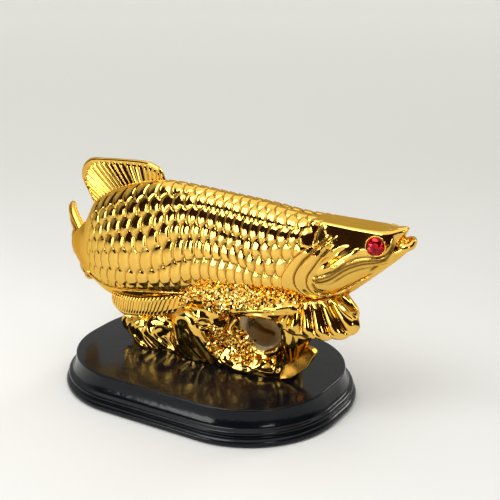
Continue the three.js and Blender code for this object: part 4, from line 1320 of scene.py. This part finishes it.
belly_fin_root = [(0, -38.6, -3.6, 28.6), (0.25, -33.4, -3.8, 28.4), (0.6, -23, -4, 29.6),
                  (1, -5.5, -4, 34.6)]
belly_fin_edge = [(0, -38.8, -4.6, 26.6), (0.1, -37.6, -4.8, 24), (0.22, -34.4, -5, 21.9),
                  (0.36, -31.4, -5, 21.4), (0.6, -24.4, -5, 22.6), (0.8, -17.8, -5, 24), (1, -6.5, -5, 28)]
belly_fin = cast_fin("belly_fin", belly_fin_root, belly_fin_edge, (0, 0, 0), (1.3, 0.9), (24, 0.6),
                     [(0, 0.6), (1, 0.6)], (300, 30), ruffle=0.03, groove=5)

tail_fin_root = [(0, -53, 0.6, 31), (0.5, -54, 0.8, 38.5), (1, -56, 3, 43)]
tail_fin_edge = [(0, -57.4, 10, 26.8), (0.07, -59.8, 10, 26), (0.15, -61.8, 10, 28), (0.3, -64, 10, 33.4),
                 (0.5, -66.6, 10, 40.8), (0.68, -65.6, 10, 45.4), (0.84, -67, 10, 50),
                 (0.93, -67.4, 10, 53), (0.98, -66.6, 10, 54.4), (1, -65.4, 10, 53.6)]
tail_fin = cast_fin("tail_fin", tail_fin_root, tail_fin_edge, (-3, -4, 0), (2.2, 1.3), (8, 0.5),
                    [(0, 0.8), (0.7, 0.8), (1, 1.2)], (120, 30))

# The two breast fins differ: the far one lies closer to the body and reaches less far forward.
breast_tips = {
    -1: [(0, 33, 11, 35.4), (0.18, 37.2, 11, 33.2), (0.36, 43, 10, 32.2), (0.54, 48.2, 9, 32.2),
         (0.7, 52.8, 7, 32.6), (0.84, 56.9, 5, 33.8), (0.94, 58.8, 3.4, 36.6), (1, 58.2, 2.4, 39.4)],
    1: [(0, 33.5, 13, 36.6), (0.2, 37.4, 12, 33.4), (0.42, 43, 10, 31.4), (0.66, 48.6, 7.4, 31.2),
        (0.85, 53.4, 5, 33.4), (1, 55.6, 2.4, 38.6)],
}
breast_fins = []
for side, word in ((-1, "right"), (1, "left")):
    root = [(0, 37, side * 8.2, 41), (0.5, 43, side * 6.4, 42.6), (1, 50, side * 2.2, 43.8)]
    tip = [(share, x, side * y, z) for share, x, y, z in breast_tips[side]]
    lean = (0.6, side * 1.6, -0.6)
    breast_fins.append(cast_fin("breast_fin_" + word, root, tip, lean, (1.5, 0.9), (6, 1.5),
                                [(0, 0.8), (1, 0.8)], (150, 36), bow=0.6, ruffle=0.06))

for fin, node in (
    (back_fin, "dorsal_fin"), (belly_fin, "anal_fin"), (tail_fin, "caudal_fin"),
    (breast_fins[0], "pectoral_fin_right"), (breast_fins[1], "pectoral_fin_left"),
):
    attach(fin, "root")
    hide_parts(node)


# Eyes
# A round red crystal with a foiled back, held in a thin gold rim on each side of the head.

# Centre of the stone's girdle, the direction it looks in, and the side's name
eye_places = [
    ((65.2, side * 6.9, 65.5), (0.2, side, 0.1), word) for side, word in ((-1, "right"), (1, "left"))
]
gem_radius = 2.9
gem_depth = 1.3
# Rings of the cut stone: share of the radius, height over the girdle, corners, turn in corners
gem_rings = [
    (0.42, 1.2, 8, 0.0), (0.68, 0.98, 8, 0.5), (0.88, 0.6, 16, 0.0), (1.0, 0.12, 16, 0.5),
    (1.0, -0.1, 16, 0.5),
]


def aimed(points, centre, axis):
    """Points round the z axis, turned to look along an axis from a centre."""
    z = np.array(axis, float) / np.linalg.norm(axis)
    x = np.cross((0, 0, 1), z)
    x /= np.linalg.norm(x)
    y = np.cross(z, x)
    points = np.asarray(points, float)
    return np.array(centre) + points[:, :1] * x + points[:, 1:2] * y + points[:, 2:] * z


def cut_gem(name, centre, axis):
    """The stone: flat facets between its rings of corners, and a point at its back."""
    points = [(0, 0, -gem_depth)]
    for share, height, corners, turn in gem_rings:
        radius = gem_radius * share
        for i in range(corners):
            angle = 2 * math.pi * (i + turn) / corners
            points.append((radius * math.cos(angle), radius * math.sin(angle), height))
    shape = bmesh.new()
    for point in aimed(points, centre, axis):
        shape.verts.new(point * MM)
    bmesh.ops.convex_hull(shape, input=shape.verts)
    bmesh.ops.dissolve_limit(shape, angle_limit=math.radians(1), verts=shape.verts, edges=shape.edges)
    bmesh.ops.recalc_face_normals(shape, faces=shape.faces)
    return shape_piece(name, shape, smooth=False)


def crystal():
    """Foiled red crystal: each facet mirrors light in red, under a clear hard gloss. Small cells are
    painted dark to bright red as painted sparkle, and a few carry a pale painted glint.
    """
    made, tree = new_material("red_crystal")
    place = tree.node("ShaderNodeTexCoord", output="Object")
    cells = tree.node("ShaderNodeTexVoronoi", None, {"Vector": place, "Scale": 950.0}, "Color")
    facet_tilt_and_painted_sparkle = tree.node("ShaderNodeSeparateColor", None, {0: cells}, 0)
    painted_glint_cells = tree.node("ShaderNodeSeparateColor", None, {0: cells}, 1)
    # Painted sparkle: each small cell is painted a darker or brighter red, as if some facets caught light
    # and others did not.
    colour = blend_colours(tree, facet_tilt_and_painted_sparkle, (0.1, 0.0, 0.004, 1), (0.85, 0.004, 0.014, 1))
    # Painted glint: a few cells are painted pale pink, as highlights.
    pale = tree.node("ShaderNodeMapRange", None, {"Value": painted_glint_cells, "From Min": 0.93, "From Max": 0.96})
    colour = blend_colours(tree, pale, colour, (1.0, 0.16, 0.2, 1))
    tilt = tree.node("ShaderNodeBump", None, {"Strength": 0.6, "Distance": 0.0006, "Height": facet_tilt_and_painted_sparkle})
    finish_material(tree, tree.node("ShaderNodeBsdfPrincipled", None, {
        "Base Color": colour, "Metallic": 0.9, "Roughness": 0.08 + painted_glint_cells * 0.1, "Normal": tilt,
        "Coat Weight": 0.5, "Coat Roughness": 0.02, "Coat IOR": 1.45, "Specular Tint": (1, 0.02, 0.03, 1),
    }))
    return made


def ring_setting(name, centre, axis):
    """A thin round rim turned about its axis, with its inner edge just over the stone."""
    steps = 10
    around = 48
    turn = np.linspace(0, 2 * math.pi, around, endpoint=False)
    rings = []
    for step in range(steps):
        angle = 2 * math.pi * step / steps
        radius = gem_radius + 0.14 + 0.24 * math.cos(angle)
        height = 0.1 + 0.4 * math.sin(angle)
        rings.append(np.stack([radius * np.cos(turn), radius * np.sin(turn), np.full(around, height)], 1))
    faces = [[corner % (steps * around) for corner in face] for face in ring_faces(steps + 1, around)]
    return mesh_piece(name, aimed(np.concatenate(rings), centre, axis), faces)


red_crystal = crystal()
for centre, axis, word in eye_places:
    gem = cut_gem("eye_crystal_" + word, centre, axis)
    gem.data.materials.append(red_crystal)
    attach(gem, "root")
    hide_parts("eye_gem_" + word)
    setting = ring_setting("eye_rim_" + word, centre, axis)
    setting.data.materials.append(gold)
    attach(setting, "root")
    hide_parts("eye_setting_" + word)


# Floor, light and camera
# A pale studio sweep, a bright ceiling over a darker room, and the photograph's own viewpoint.
# The sweep's colour is painted a little darker and then lighter again towards its far end: painted shade
# and painted light.

towards_back = (-0.52, 0.854, 0)


def along_direction(tree, value, direction):
    return tree.node("ShaderNodeVectorMath", {"operation": "DOT_PRODUCT"}, {0: value, 1: direction}, 1)


def make_floor():
    """A wide flat disc, in three pale tones that run into each other as painted shade and painted light."""
    made, tree = new_material("studio_floor")
    place = tree.node("ShaderNodeTexCoord", output="Object")
    away = along_direction(tree, place, towards_back)
    # Painted shade and light: the sweep is painted darker in a band behind the casting and lighter again at
    # its far end.
    far = ramp(tree, away, 0.02, 0.3)
    farther = tree.node("ShaderNodeMapRange", None, {"Value": away, "From Min": 0.3, "From Max": 0.95})
    tone = blend_colours(tree, far, (0.76, 0.76, 0.745, 1), (0.69, 0.69, 0.665, 1))
    tone = blend_colours(tree, farther, tone, (0.80, 0.80, 0.775, 1))
    finish_material(tree, tree.node("ShaderNodeBsdfPrincipled", None, {
        "Base Color": tone, "Roughness": 0.6, "Specular IOR Level": 0.2,
    }))
    radius = 3000
    corners = 96
    angles = np.linspace(0, 2 * math.pi, corners + 1)[:-1]
    points = np.stack([radius * np.cos(angles), radius * np.sin(angles), np.zeros(corners)], 1)
    floor = mesh_piece("floor", points, [list(range(corners))], smooth=False)
    floor.data.materials.append(made)
    return floor


floor = make_floor()


def make_room():
    """The surroundings: a pale backdrop behind, a dark room with one bright window before it, a ceiling."""
    world = bpy.data.worlds.new("studio")
    world.use_nodes = True
    world.node_tree.nodes.clear()
    tree = Wire(world.node_tree)
    direction = tree.node("ShaderNodeTexCoord", output="Generated")

    def facing(x, y, z):
        length = math.sqrt(x * x + y * y + z * z)
        return along_direction(tree, direction, (x / length, y / length, z / length))

    behind = ramp(tree, facing(*towards_back), -0.12, 0.22)
    above = ramp(tree, facing(0, 0, 1), 0.66, 0.80)
    room = blend_colours(tree, behind, (0.026, 0.012, 0.010, 1), (0.56, 0.55, 0.52, 1))
    room = blend_colours(tree, above, room, (1.35, 1.35, 1.31, 1))
    glow = 0
    for centre, reach in (((0.80, -0.58, 0.36), 0.006), ((0.3, 0.9, 0.5), 0.01)):
        glow = glow + ramp(tree, facing(*centre), 1 - reach * 1.5, 1 - reach * 0.8)
    # The window stands upright, so it is measured across and up apart, and has a dark post in its middle.
    across, up = facing(0.918, -0.396, 0), facing(0, 0, 1) - 0.12
    front = ramp(tree, facing(-0.396, -0.918, 0), 0.5, 0.6)
    pane = across * across / 0.03 + up * up / 0.028
    post = across * across / 0.0012 + (up - 0.04) * (up - 0.04) / 0.005
    glow = glow + ramp(tree, pane, 1.15, 0.85) * ramp(tree, post, 0.7, 1.3) * front
    lit = blend_colours(tree, glow, room, (9.0, 9.0, 8.6, 1))
    seen = tree.node("ShaderNodeLightPath", output="Is Camera Ray")
    colour = blend_colours(tree, seen, lit, (0.74, 0.74, 0.70, 1))
    background = tree.node("ShaderNodeBackground", None, {"Color": colour, "Strength": 1.0})
    tree.node("ShaderNodeOutputWorld", None, {"Surface": background})
    bpy.context.scene.world = world


make_room()

softbox = bpy.data.lights.new("softbox", "AREA")
softbox.shape = "DISK"
softbox.size = 0.35
softbox.energy = 1.8
add_object("softbox", softbox).location = (-0.12, -0.36, 0.46)

camera = bpy.data.cameras.new("camera")
camera.lens = 79.2
camera.sensor_width = 36
camera.clip_start = 0.01
camera.clip_end = 20
camera_object = add_object("camera", camera)
camera_object.location = (0.1951, -0.2930, 0.1751)
camera_object.rotation_euler = (math.radians(90 - 19.55), 0, math.radians(31.32))
bpy.context.scene.camera = camera_object
bpy.context.scene.view_settings.view_transform = "Standard"
